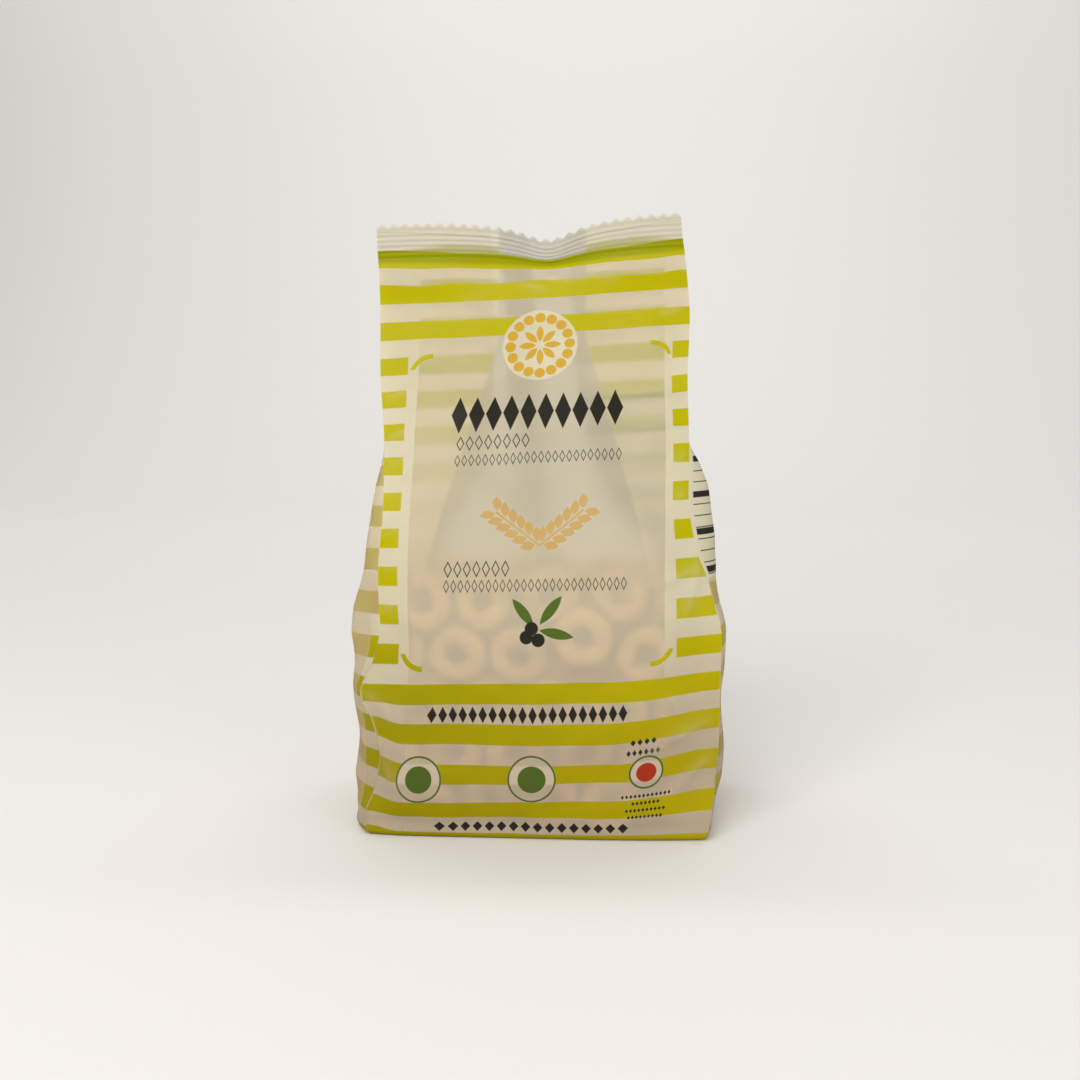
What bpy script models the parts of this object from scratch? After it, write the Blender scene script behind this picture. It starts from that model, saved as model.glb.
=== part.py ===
"""Upright side-gusseted bag of tarallini in frosted plastic film, as one closed solid.

Metres, +Z up, with the front panel facing -Y. The origin is under the middle of the bag's box, on the
surface that the bag stands on. The bag is a loft of closed rings. Low down, where the biscuits fill it,
a ring is a soft-cornered box. Higher up, the two gussets fold in between the front and back panels, and
the panels come together in a flat crimped seal with a zigzag cut along its top.
"""

import math

import bmesh
import bpy
import numpy as np

PANEL_WIDTH = 0.120
GUSSET_FOLD = 0.0434
BAG_HEIGHT = 0.2285
SEAL_HEIGHT = 0.0135
SEAL_HALF_THICKNESS = 0.0007

CRIMP_PITCH = 0.0023
CRIMP_SWAY = 0.0004
TOOTH_COUNT = 26
TOOTH_HEIGHT = 0.0015

BASE_RADIUS = 0.003
BASE_HALF_WIDTH = 0.0665
BASE_HALF_DEPTH = 0.0406

# The bag leans a little: its rings tip up towards +X by this slope, all of it above this height.
RING_SLOPE = 0.030
SLOPE_REACHED = 0.055

# The seal sags between its two ends, and bends forwards and back along its width.
SAG_DEPTH = 0.0075
SAG_HALF_WIDTH = 0.013
SAG_PLACE = 0.003
SAG_STARTS = 0.196
SEAL_BEND = 0.0023
SEAL_BEND_LENGTH = 0.097

# Each outline is a smooth line through a few (height, distance) pairs. The first two say how far a
# crease of the front and back panels lies outside half the panel's width, and the next two how far
# the gusset bellies out beside it.
LEFT_CREASE = [
    (0.0000, 0.0018),
    (0.0090, 0.0015),
    (0.0185, -0.0018),
    (0.0305, -0.0037),
    (0.0445, -0.0013),
    (0.0555, 0.0026),
    (0.0675, -0.0014),
    (0.0810, -0.0041),
    (0.0995, -0.0037),
    (0.1200, -0.0047),
    (0.1450, -0.0035),
    (0.1600, -0.0014),
    (0.1720, 0.0001),
    (0.1850, 0.0007),
    (0.2050, 0.0013),
    (0.2260, 0.0024),
]
RIGHT_CREASE = [
    (0.0000, 0.0023),
    (0.0090, 0.0042),
    (0.0230, 0.0065),
    (0.0460, 0.0074),
    (0.0720, 0.0074),
    (0.0850, 0.0048),
    (0.0940, 0.0022),
    (0.1035, -0.0017),
    (0.1235, -0.0048),
    (0.1410, -0.0044),
    (0.1625, -0.0045),
    (0.1890, -0.0034),
    (0.2085, -0.0049),
    (0.2280, -0.0070),
]
LEFT_BULGE = [
    (0.0000, 0.0053),
    (0.0110, 0.0052),
    (0.0200, 0.0078),
    (0.0340, 0.0086),
    (0.0440, 0.0076),
    (0.0555, 0.0052),
    (0.0680, 0.0078),
    (0.0850, 0.0121),
    (0.1000, 0.0138),
    (0.1150, 0.0143),
    (0.1270, 0.0133),
    (0.1370, 0.0102),
    (0.1425, 0.0060),
    (0.1465, 0.0000),
]
RIGHT_BULGE = [
    (0.0000, 0.0021),
    (0.0120, 0.0023),
    (0.0200, 0.0040),
    (0.0330, 0.0036),
    (0.0450, 0.0031),
    (0.0700, 0.0035),
    (0.0830, 0.0051),
    (0.0925, 0.0078),
    (0.1015, 0.0123),
    (0.1120, 0.0152),
    (0.1250, 0.0173),
    (0.1340, 0.0145),
    (0.1385, 0.0108),
    (0.1465, 0.0000),
]
HALF_DEPTH = [
    (0.0000, 0.0406),
    (0.0110, 0.0415),
    (0.0370, 0.0425),
    (0.0690, 0.0425),
    (0.0875, 0.0415),
    (0.1060, 0.0383),
    (0.1245, 0.0318),
    (0.1430, 0.0235),
    (0.1615, 0.0143),
    (0.1755, 0.0088),
    (0.1890, 0.0054),
    (0.2030, 0.0031),
    (0.2140, 0.0015),
]
FOLD_DEPTH = [
    (0.0720, 0.0000),
    (0.0830, 0.0046),
    (0.0925, 0.0102),
    (0.1035, 0.0166),
    (0.1200, 0.0268),
    (0.1385, 0.0351),
    (0.1615, 0.0406),
    (0.1845, GUSSET_FOLD),
]
FOLD_STARTS = 0.072
FOLD_FREE = 0.1035

# How far an end of a panel is set back from its middle at each height, and over what share of it.
FRONT_LEFT_SETBACK = [(0.0000, 0.0014), (0.0230, 0.0037), (0.0785, 0.0037), (0.1475, 0.0005)]
FRONT_RIGHT_SETBACK = [(0.0000, 0.0023), (0.0230, 0.0092), (0.0785, 0.0102), (0.1475, 0.0007)]
BACK_SETBACK = [(0.0000, 0.0023), (0.0230, 0.0055), (0.0785, 0.0055), (0.1475, 0.0005)]
FRONT_LEFT_REACH = 0.15
FRONT_RIGHT_REACH = 0.36
BACK_REACH = 0.25

PANEL_STEPS = TOOTH_COUNT
GUSSET_STEPS = 6
BODY_RINGS = 23
FIRST_BODY_RING = 0.0100
LAST_BODY_RING = 0.2115

FILM_COLOUR = (0.78, 0.74, 0.62, 1.0)
FILM_ROUGHNESS = 0.42


def smooth_line(pairs, height):
    """Reads a smooth line, through these pairs without overshoot, at one height."""
    z = [pair[0] for pair in pairs]
    v = [pair[1] for pair in pairs]
    height = min(max(height, z[0]), z[-1])
    i = min(max(int(np.searchsorted(z, height)) - 1, 0), len(z) - 2)
    slopes = [(v[k + 1] - v[k]) / (z[k + 1] - z[k]) for k in range(len(z) - 1)]

    def tangent(k):
        if k in (0, len(z) - 1) or slopes[k - 1] * slopes[k] <= 0:
            return 0.0
        return 2 * slopes[k - 1] * slopes[k] / (slopes[k - 1] + slopes[k])

    span = z[i + 1] - z[i]
    t = (height - z[i]) / span
    start = (2 * t**3 - 3 * t**2 + 1) * v[i] + (t**3 - 2 * t**2 + t) * span * tangent(i)
    end = (3 * t**2 - 2 * t**3) * v[i + 1] + (t**3 - t**2) * span * tangent(i + 1)
    return start + end


def ease(low, high, value):
    t = min(max((value - low) / (high - low), 0.0), 1.0)
    return t * t * (3 - 2 * t)


def setback(outline, height, share, reach):
    """How far a panel lies back at a share of its width from its end."""
    return smooth_line(outline, height) * max(0.0, 1 - share / reach) ** 2


def panel(height, left_outline, left_reach, right_outline, right_reach):
    """Points across a panel from its left crease to its right, with depth measured outwards."""
    left = -PANEL_WIDTH / 2 - smooth_line(LEFT_CREASE, height)
    right = PANEL_WIDTH / 2 + smooth_line(RIGHT_CREASE, height)
    depth = smooth_line(HALF_DEPTH, height)
    points = []
    for step in range(PANEL_STEPS + 1):
        share = step / PANEL_STEPS
        back = setback(left_outline, height, share, left_reach)
        back += setback(right_outline, height, 1 - share, right_reach)
        points.append((left + (right - left) * share, max(depth - back, SEAL_HALF_THICKNESS)))
    return points


def gusset(side, height, corner, folded_in):
    """Points along half a gusset, after the panel's corner, up to and with the inner fold."""
    crease = abs(corner[0])
    if not folded_in:
        inner = crease
        bulge = 0.0
    else:
        free = ease(FOLD_STARTS, FOLD_FREE, height)
        edge = BASE_HALF_WIDTH + (crease - BASE_HALF_WIDTH) * free
        inner = edge - smooth_line(FOLD_DEPTH, height)
        bulge = smooth_line(LEFT_BULGE if side < 0 else RIGHT_BULGE, height)
    points = []
    for step in range(1, GUSSET_STEPS + 1):
        share = step / GUSSET_STEPS
        x = crease + (inner - crease) * share + bulge * math.sin(math.pi * share**0.8)
        points.append((side * x, corner[1] * (1 - share)))
    return points


def ring(height, folded_in=True):
    """One closed ring at this height, from the front left crease round by the right side."""
    front = panel(
        height, FRONT_LEFT_SETBACK, FRONT_LEFT_REACH, FRONT_RIGHT_SETBACK, FRONT_RIGHT_REACH
    )
    front = [(x, -y) for x, y in front]
    back = panel(height, BACK_SETBACK, BACK_REACH, BACK_SETBACK, BACK_REACH)
    right_front = gusset(1, height, front[-1], folded_in)
    right_back = gusset(1, height, back[-1], folded_in)
    left_front = gusset(-1, height, front[0], folded_in)
    left_back = gusset(-1, height, back[0], folded_in)
    points = front + right_front + right_back[-2::-1]
    points += back[::-1] + left_back + left_front[-2::-1]
    return [(x, y, height) for x, y in points]


def base_rings():
    """Rings of the rounded foot, from the flat base up."""
    rings = []
    for turn in (0.0, math.pi / 4, math.pi / 2):
        inset = BASE_RADIUS * (1 - math.sin(turn))
        height = BASE_RADIUS * (1 - math.cos(turn))
        across = 1 - inset / BASE_HALF_WIDTH
        along = 1 - inset / BASE_HALF_DEPTH
        rings.append([(x * across, y * along, height) for x, y, _ in ring(height)])
    return rings


def seal_rings():
    """Rings of the crimped seal, swaying forwards and back once every crimp."""
    start = BAG_HEIGHT - SEAL_HEIGHT
    rings = []
    steps = round(2 * (SEAL_HEIGHT - TOOTH_HEIGHT) / CRIMP_PITCH)
    for step in range(steps + 1):
        height = start + (SEAL_HEIGHT - TOOTH_HEIGHT) * step / steps
        sway = CRIMP_SWAY if step % 2 else -CRIMP_SWAY
        flat = []
        for x, y, z in ring(height, folded_in=False):
            limit = min(max(y, -SEAL_HALF_THICKNESS), SEAL_HALF_THICKNESS)
            flat.append((x, limit + sway, z))
        rings.append(flat)
    return rings


def settle(point):
    """Moves a point of the upright loft to where the leaning, sagging bag has it."""
    x, y, z = point
    risen = ease(SAG_STARTS, BAG_HEIGHT - SEAL_HEIGHT, z)
    sag = SAG_DEPTH / (1 + ((x - SAG_PLACE) / SAG_HALF_WIDTH) ** 2)
    bend = SEAL_BEND * math.cos(2 * math.pi * x / SEAL_BEND_LENGTH)
    tilt = RING_SLOPE * x * ease(0.0, SLOPE_REACHED, z)
    return (x, y + bend * risen, z + tilt - sag * risen)


def add_ring(mesh, points):
    return [mesh.verts.new(point) for point in points]


def bridge(mesh, lower, upper):
    count = len(lower)
    for i in range(count):
        j = (i + 1) % count
        mesh.faces.new((lower[i], lower[j], upper[j], upper[i]))


def close_top(mesh, top):
    """Roofs the seal, with a row of teeth from end to end."""
    last_front = PANEL_STEPS
    first_back = PANEL_STEPS + 2 * GUSSET_STEPS
    count = len(top)
    for step in range(PANEL_STEPS):
        near = (top[step], top[step + 1])
        far = (top[first_back + PANEL_STEPS - step], top[first_back + PANEL_STEPS - step - 1])
        near_tip = mesh.verts.new((near[0].co + near[1].co) / 2)
        far_tip = mesh.verts.new((far[0].co + far[1].co) / 2)
        near_tip.co.z += TOOTH_HEIGHT
        far_tip.co.z += TOOTH_HEIGHT
        mesh.faces.new((near[0], near[1], near_tip))
        mesh.faces.new((far[1], far[0], far_tip))
        mesh.faces.new((near[0], near_tip, far_tip, far[0]))
        mesh.faces.new((near_tip, near[1], far[1], far_tip))
    mesh.faces.new(top[last_front : first_back + 1])
    mesh.faces.new(top[first_back + PANEL_STEPS : count] + [top[0]])


def film_material():
    material = bpy.data.materials.new("Frosted film")
    material.use_nodes = True
    shader = material.node_tree.nodes["Principled BSDF"]
    shader.inputs["Base Color"].default_value = FILM_COLOUR
    shader.inputs["Roughness"].default_value = FILM_ROUGHNESS
    shader.inputs["Metallic"].default_value = 0.0
    return material


def make_bag(collection):
    rings = base_rings()
    for step in range(BODY_RINGS):
        share = step / (BODY_RINGS - 1)
        rings.append(ring(FIRST_BODY_RING + (LAST_BODY_RING - FIRST_BODY_RING) * share))
    rings += seal_rings()
    rings = [[settle(point) for point in points] for points in rings]
    xs = [point[0] for points in rings for point in points]
    ys = [point[1] for points in rings for point in points]
    middle_x = (min(xs) + max(xs)) / 2
    middle_y = (min(ys) + max(ys)) / 2

    mesh = bmesh.new()
    loops = [add_ring(mesh, [(x - middle_x, y - middle_y, z) for x, y, z in r]) for r in rings]
    for lower, upper in zip(loops, loops[1:]):
        bridge(mesh, lower, upper)
    mesh.faces.new(loops[0][::-1])
    close_top(mesh, loops[-1])
    bmesh.ops.recalc_face_normals(mesh, faces=mesh.faces)
    data = bpy.data.meshes.new("bag")
    mesh.to_mesh(data)
    mesh.free()
    data.shade_smooth()
    data.set_sharp_from_angle(angle=math.radians(40))
    data.materials.append(film_material())
    bag = bpy.data.objects.new("bag", data)
    collection.objects.link(bag)
    return bag


for leftover in list(bpy.data.objects):
    bpy.data.objects.remove(leftover)
bag_collection = bpy.data.collections.new("Bag of tarallini")
bpy.context.scene.collection.children.link(bag_collection)
make_bag(bag_collection)
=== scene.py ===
import math

import bmesh
import bpy
import numpy as np
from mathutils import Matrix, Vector
from mathutils.bvhtree import BVHTree


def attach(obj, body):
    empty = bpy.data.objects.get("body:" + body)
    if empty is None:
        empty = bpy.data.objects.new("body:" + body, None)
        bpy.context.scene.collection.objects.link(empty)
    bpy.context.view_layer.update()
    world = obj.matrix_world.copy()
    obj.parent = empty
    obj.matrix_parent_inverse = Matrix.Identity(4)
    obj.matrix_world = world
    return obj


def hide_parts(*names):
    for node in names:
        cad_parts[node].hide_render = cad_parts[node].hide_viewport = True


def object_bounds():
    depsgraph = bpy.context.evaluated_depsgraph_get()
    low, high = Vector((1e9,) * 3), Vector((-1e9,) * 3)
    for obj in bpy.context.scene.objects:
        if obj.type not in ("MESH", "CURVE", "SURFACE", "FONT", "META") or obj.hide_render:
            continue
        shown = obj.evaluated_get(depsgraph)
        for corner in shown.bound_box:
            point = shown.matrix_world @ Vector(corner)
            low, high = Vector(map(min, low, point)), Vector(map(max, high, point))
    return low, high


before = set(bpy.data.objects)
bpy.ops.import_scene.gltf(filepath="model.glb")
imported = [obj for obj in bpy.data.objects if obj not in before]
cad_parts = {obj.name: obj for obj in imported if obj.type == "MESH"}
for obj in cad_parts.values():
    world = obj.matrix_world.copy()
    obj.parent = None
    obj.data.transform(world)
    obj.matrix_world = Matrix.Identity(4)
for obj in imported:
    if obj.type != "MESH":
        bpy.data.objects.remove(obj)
cad_low, cad_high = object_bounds()

# The bag is one web of frosted white plastic film, formed round a tube, with a gusset folded in at each
# side. Low down the biscuits fill it to a soft-cornered box. Above them the gussets close in between the
# two panels, which come together in a flat crimped seal, cut along its top with a zigzag blade.
PANEL_WIDTH = 0.120
GUSSET_FOLD = 0.0434
BAG_HEIGHT = 0.2285
SEAL_HEIGHT = 0.0135
SEAL_START = BAG_HEIGHT - SEAL_HEIGHT
SEAL_CLOSES = 0.2105
LAYER_GAP = 0.00028
HALF_SEAL = 1.5 * LAYER_GAP

CRIMP_COUNT = 6
CRIMP_SWAY = 0.00023
TOOTH_COUNT = 26
TOOTH_HEIGHT = 0.0015
TEETH_FROM = 7 / 8

BASE_RADIUS = 0.003
BASE_HALF_WIDTH = 0.0665
BASE_HALF_DEPTH = 0.0406
BASE_SEAM_HALF_LENGTH = 0.0260
BASE_HOLLOW = 0.0011

RING_SLOPE = 0.030
SLOPE_REACHED = 0.055
SAG_DEPTH = 0.0075
SAG_HALF_WIDTH = 0.013
SAG_PLACE = 0.003
SAG_STARTS = 0.2035
SAG_FULL = 0.2275
BEND_STARTS = 0.196
SEAL_BEND = 0.0023
SEAL_BEND_LENGTH = 0.097

# Each outline is a smooth line through a few (height, distance) pairs: how far a crease lies outside half
# the panel's width, how far a gusset bellies out beside it, how far the panels stand off the middle, how
# deep the gussets fold in, and how far the ends of a panel lie back from its middle.
LEFT_CREASE = [
    (0.0000, 0.0018),
    (0.0090, 0.0015),
    (0.0185, -0.0018),
    (0.0305, -0.0037),
    (0.0445, -0.0013),
    (0.0555, 0.0026),
    (0.0675, -0.0014),
    (0.0810, -0.0041),
    (0.0995, -0.0037),
    (0.1200, -0.0047),
    (0.1450, -0.0035),
    (0.1600, -0.0014),
    (0.1720, 0.0001),
    (0.1850, 0.0007),
    (0.2050, 0.0013),
    (0.2260, 0.0024),
]
RIGHT_CREASE = [
    (0.0000, 0.0023),
    (0.0090, 0.0042),
    (0.0230, 0.0065),
    (0.0460, 0.0074),
    (0.0720, 0.0074),
    (0.0850, 0.0048),
    (0.0940, 0.0022),
    (0.1035, -0.0017),
    (0.1235, -0.0048),
    (0.1410, -0.0044),
    (0.1625, -0.0045),
    (0.1890, -0.0034),
    (0.2085, -0.0049),
    (0.2280, -0.0070),
]
LEFT_BULGE = [
    (0.0000, 0.0053),
    (0.0110, 0.0052),
    (0.0200, 0.0078),
    (0.0340, 0.0086),
    (0.0440, 0.0076),
    (0.0555, 0.0052),
    (0.0680, 0.0078),
    (0.0850, 0.0121),
    (0.1000, 0.0138),
    (0.1150, 0.0143),
    (0.1270, 0.0133),
    (0.1370, 0.0102),
    (0.1425, 0.0060),
    (0.1465, 0.0000),
]
RIGHT_BULGE = [
    (0.0000, 0.0021),
    (0.0120, 0.0023),
    (0.0200, 0.0040),
    (0.0330, 0.0036),
    (0.0450, 0.0031),
    (0.0700, 0.0035),
    (0.0830, 0.0051),
    (0.0925, 0.0078),
    (0.1015, 0.0123),
    (0.1120, 0.0152),
    (0.1250, 0.0173),
    (0.1340, 0.0145),
    (0.1385, 0.0108),
    (0.1465, 0.0000),
]
HALF_DEPTH = [
    (0.0000, 0.0406),
    (0.0110, 0.0415),
    (0.0370, 0.0425),
    (0.0690, 0.0425),
    (0.0875, 0.0415),
    (0.1060, 0.0383),
    (0.1245, 0.0318),
    (0.1430, 0.0235),
    (0.1615, 0.0143),
    (0.1755, 0.0088),
    (0.1890, 0.0054),
    (0.2030, 0.0031),
    (0.2140, 0.0015),
]
FOLD_DEPTH = [
    (0.0720, 0.0000),
    (0.0830, 0.0046),
    (0.0925, 0.0102),
    (0.1035, 0.0166),
    (0.1200, 0.0268),
    (0.1385, 0.0351),
    (0.1615, 0.0406),
    (0.1845, GUSSET_FOLD),
]
FOLD_STARTS = 0.072
FOLD_FREE = 0.1035
FRONT_LEFT_SETBACK = [(0.0000, 0.0014), (0.0230, 0.0037), (0.0785, 0.0037), (0.1475, 0.0005)]
FRONT_RIGHT_SETBACK = [(0.0000, 0.0023), (0.0230, 0.0092), (0.0785, 0.0102), (0.1475, 0.0007)]
BACK_SETBACK = [(0.0000, 0.0023), (0.0230, 0.0055), (0.0785, 0.0055), (0.1475, 0.0005)]
FRONT_LEFT_REACH = 0.15
FRONT_RIGHT_REACH = 0.36
BACK_REACH = 0.25
BULGE_FORWARD = 0.8

# Four columns of the web go to a tooth, and two more run close beside each crease, where the film turns.
COLUMNS_ACROSS = 4 * TOOTH_COUNT
COLUMNS_FOLDED = 37
BESIDE_CREASE = (0.0025, 0.0055)
BASE_ROWS = 14
FOOT_ROWS = 6
BODY_ROWS = 196
SEAL_ROWS = 46


def smooth_line(pairs, height):
    """Reads a smooth line, through these pairs without overshoot, at one height."""
    knots = [pair[0] for pair in pairs]
    values = [pair[1] for pair in pairs]
    height = min(max(height, knots[0]), knots[-1])
    before = min(max(int(np.searchsorted(knots, height)) - 1, 0), len(knots) - 2)
    slopes = [(values[k + 1] - values[k]) / (knots[k + 1] - knots[k]) for k in range(len(knots) - 1)]

    def tangent(knot):
        if knot in (0, len(knots) - 1) or slopes[knot - 1] * slopes[knot] <= 0:
            return 0.0
        return 2 * slopes[knot - 1] * slopes[knot] / (slopes[knot - 1] + slopes[knot])

    span = knots[before + 1] - knots[before]
    share = (height - knots[before]) / span
    start = (2 * share**3 - 3 * share**2 + 1) * values[before]
    start += (share**3 - 2 * share**2 + share) * span * tangent(before)
    end = (3 * share**2 - 2 * share**3) * values[before + 1]
    end += (share**3 - share**2) * span * tangent(before + 1)
    return start + end


def ease(low, high, value):
    """0 up to the low value and 1 from the high one, with a smooth rise between them."""
    share = np.clip((value - low) / (high - low), 0.0, 1.0)
    return share * share * (3 - 2 * share)


def creases_at(height):
    """Where the panels' left and right creases stand at this height."""
    left = -PANEL_WIDTH / 2 - smooth_line(LEFT_CREASE, height)
    right = PANEL_WIDTH / 2 + smooth_line(RIGHT_CREASE, height)
    return left, right


def panel_depth(height, share, left, left_reach, right, right_reach):
    """How far a panel stands off the middle of the bag, at a share of its width from its left crease."""
    near = smooth_line(left, height) * np.clip(1 - share / left_reach, 0.0, 1.0) ** 2
    far = smooth_line(right, height) * np.clip(1 - (1 - share) / right_reach, 0.0, 1.0) ** 2
    return smooth_line(HALF_DEPTH, height) - near - far


def gusset_x(side, height, share):
    """Where a gusset stands, at a share of the way from a panel's crease to the gusset's inner fold."""
    crease = abs(creases_at(height)[0 if side < 0 else 1])
    edge = BASE_HALF_WIDTH + (crease - BASE_HALF_WIDTH) * ease(FOLD_STARTS, FOLD_FREE, height)
    inner = edge - smooth_line(FOLD_DEPTH, height)
    bulge = smooth_line(LEFT_BULGE if side < 0 else RIGHT_BULGE, height)
    return side * (crease + (inner - crease) * share + bulge * np.sin(np.pi * share**BULGE_FORWARD))


panel_shares = [column / COLUMNS_ACROSS for column in range(COLUMNS_ACROSS + 1)]
panel_shares += list(BESIDE_CREASE) + [1 - share for share in BESIDE_CREASE]
panel_shares = np.array(sorted(panel_shares))
gusset_shares = panel_shares[1 : COLUMNS_FOLDED + len(BESIDE_CREASE) + 1]
gusset_shares = gusset_shares / gusset_shares[-1]

# The web's columns at the middle of the back, at the front's two creases and middle, and at the end.
MIDDLE = len(panel_shares) // 2
FRONT_LEFT = MIDDLE + 2 * len(gusset_shares)
FRONT_MIDDLE = FRONT_LEFT + MIDDLE
FRONT_RIGHT = FRONT_LEFT + len(panel_shares) - 1
LAST_COLUMN = 2 * FRONT_MIDDLE


def film_ring(height):
    """Points once round the bag, from its back seam by the left gusset, the front and the right one."""
    left, right = creases_at(height)
    pressed = ease(SEAL_CLOSES, SEAL_START, height)
    x = left + (right - left) * panel_shares
    near = panel_depth(
        height, panel_shares, FRONT_LEFT_SETBACK, FRONT_LEFT_REACH, FRONT_RIGHT_SETBACK, FRONT_RIGHT_REACH
    )
    far = panel_depth(height, panel_shares, BACK_SETBACK, BACK_REACH, BACK_SETBACK, BACK_REACH)
    near = -near * (1 - pressed) - HALF_SEAL * pressed
    far = far * (1 - pressed) + HALF_SEAL * pressed
    flat = 0.5 * LAYER_GAP + LAYER_GAP * np.clip(1 - gusset_shares / gusset_shares[2], 0, 1)
    flat = flat * np.clip((1 - gusset_shares) / (1 - gusset_shares[-2]), 0, 1)
    half = {}
    for side, corner in ((-1, 0), (1, -1)):
        for facing, y in ((-1, near[corner]), (1, far[corner])):
            depth = y * (1 - gusset_shares) * (1 - pressed) + facing * flat * pressed
            half[side, facing] = np.stack([gusset_x(side, height, gusset_shares), depth], -1)
    front = np.stack([x, near], -1)
    back = np.stack([x, far], -1)
    left_gusset = [half[-1, 1], half[-1, -1][-2::-1]]
    right_gusset = [half[1, -1], half[1, 1][-2::-1]]
    return np.concatenate([back[MIDDLE::-1], *left_gusset, front, *right_gusset, back[: MIDDLE - 1 : -1]])


def settled(points):
    """Moves the points of the upright loft to where the leaning, sagging bag has them."""
    x, y, z = points[..., 0], points[..., 1], points[..., 2]
    sag = SAG_DEPTH / (1 + ((x - SAG_PLACE) / SAG_HALF_WIDTH) ** 2) * ease(SAG_STARTS, SAG_FULL, z)
    bend = SEAL_BEND * np.cos(2 * np.pi * x / SEAL_BEND_LENGTH) * ease(BEND_STARTS, SEAL_START, z)
    tilt = RING_SLOPE * x * ease(0.0, SLOPE_REACHED, z)
    return np.stack([x, y + bend, z + tilt - sag], -1)


# Rings of points from the seam under the base, by the rounded foot and the body, up to the cut teeth.
rings = []
heights = []
base_ring = film_ring(0.0)
seam = np.stack([base_ring[:, 0] * BASE_SEAM_HALF_LENGTH / BASE_HALF_WIDTH, 0 * base_ring[:, 0]], -1)
seam[:, 0] = np.clip(seam[:, 0], -BASE_SEAM_HALF_LENGTH, BASE_SEAM_HALF_LENGTH)
foot_inset = np.array([1 - BASE_RADIUS / BASE_HALF_WIDTH, 1 - BASE_RADIUS / BASE_HALF_DEPTH])
for row in range(BASE_ROWS):
    spread = row / BASE_ROWS
    ring = seam + (base_ring * foot_inset - seam) * spread
    rings.append(np.c_[ring, 0 * seam[:, 0] + BASE_HOLLOW * (1 - spread**3)])
    heights.append((spread - 1) * BASE_HALF_DEPTH - BASE_RADIUS)
for row in range(FOOT_ROWS):
    turn = math.pi / 2 * row / FOOT_ROWS
    inset = BASE_RADIUS * (1 - math.sin(turn))
    height = BASE_RADIUS * (1 - math.cos(turn))
    shrink = np.array([1 - inset / BASE_HALF_WIDTH, 1 - inset / BASE_HALF_DEPTH])
    rings.append(np.c_[film_ring(height) * shrink, 0 * seam[:, 0] + height])
    heights.append(height - inset)
for row in range(BODY_ROWS):
    height = BASE_RADIUS + (SEAL_START - BASE_RADIUS) * row / BODY_ROWS
    rings.append(np.c_[film_ring(height), 0 * seam[:, 0] + height])
    heights.append(height)
for row in range(SEAL_ROWS + 1):
    share = row / SEAL_ROWS
    height = SEAL_START + (SEAL_HEIGHT - TOOTH_HEIGHT) * share
    spots = film_ring(height)
    left, right = creases_at(height)
    cut = (spots[:, 0] - left) / (right - left) * TOOTH_COUNT
    tooth = TOOTH_HEIGHT * (1 - np.abs(2 * (cut - np.floor(cut)) - 1))
    tooth = tooth * np.clip((share - TEETH_FROM) / (1 - TEETH_FROM), 0, 1)
    sway = CRIMP_SWAY * math.sin(2 * math.pi * CRIMP_COUNT * share)
    rings.append(np.c_[spots[:, 0], spots[:, 1] + sway, height + tooth])
    heights.append(height)
loft = np.array(rings)
heights = np.array(heights)
ROWS = len(loft)

# The print's own coordinates: how far round the web a point lies from the front's middle line, and how
# far up the web. The fold lines of the print meet the creases above. Low down on the left the bag has
# creased further in, and more film than height runs up the leaning panels.
WEB_HALF_WIDTH = PANEL_WIDTH + 2 * GUSSET_FOLD
FOLD_LINE = PANEL_WIDTH / 2
PRINT_MIDDLE = 0.00095
PRINT_SLOPE = 0.015
PRINT_SLOPE_REACHED = 0.010
HELD_INSIDE = 0.85
STRETCH_STARTS = (0.030, 0.050)
STRETCH_CHANGES = (0.042, 0.060)
LEFT_CREASE_PRINT = [
    (0.0000, 0.0585),
    (0.0090, 0.0580),
    (0.0185, 0.0560),
    (0.0305, 0.0550),
    (0.0445, 0.0575),
    (0.0555, 0.0600),
    (0.1000, 0.0600),
]
FILM_LENGTH = [
    (0.0000, 0.0000),
    (0.0315, 0.0318),
    (0.0596, 0.0597),
    (0.0874, 0.0877),
    (0.1146, 0.1157),
    (0.1408, 0.1436),
    (0.1659, 0.1716),
    (0.1918, 0.1995),
    (0.2193, 0.2275),
    (0.2285, 0.2368),
]

# The print has crept a little out of line: how far it stands too high at five places across the front, for
# a few heights of the web, in millimetres. On the gussets it lags behind the panels where the fold rolls.
CREEP_ACROSS = (-0.147, -0.060, -0.030, 0.000, 0.030, 0.060, 0.147)
PRINT_CREEP = [
    (0.0003, 1.5, 1.2, 1.2, 1.2, 0.6),
    (0.0142, 3.2, 3.6, 3.2, 3.0, 0.4),
    (0.0282, 1.8, 2.9, 3.7, 3.8, 0.6),
    (0.0422, 0.8, 1.5, 2.6, 2.5, 0.0),
    (0.0562, 0.1, 0.6, 1.5, 2.0, 0.8),
    (0.0702, -0.6, 0.0, 0.7, 1.3, 1.2),
    (0.0842, -1.0, -0.6, 0.1, 0.8, 1.1),
    (0.0981, -1.1, -0.6, 0.0, 0.4, 0.6),
    (0.1261, -0.5, -0.3, 0.0, 0.0, -0.3),
    (0.1541, 0.5, 0.3, 0.0, -0.4, -0.8),
    (0.1820, 1.1, 0.8, 0.3, -0.4, -1.1),
    (0.1960, 0.2, 0.8, 0.5, 0.4, -0.3),
    (0.2100, -0.3, 0.2, 0.4, -0.3, -0.8),
    (0.2240, -0.1, 1.9, 1.7, 2.8, 1.1),
]
GUSSET_LAG = [
    (0.000, 0.0010),
    (0.020, 0.0045),
    (0.056, 0.0025),
    (0.070, 0.0020),
    (0.098, 0.0054),
    (0.130, 0.0097),
    (0.155, 0.0123),
    (0.223, 0.0164),
]
CURL_UP = 0.0026
CURL_ACROSS = (0.0475, 0.0580)
CURL_UPWARDS = (0.045, 0.058)
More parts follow.
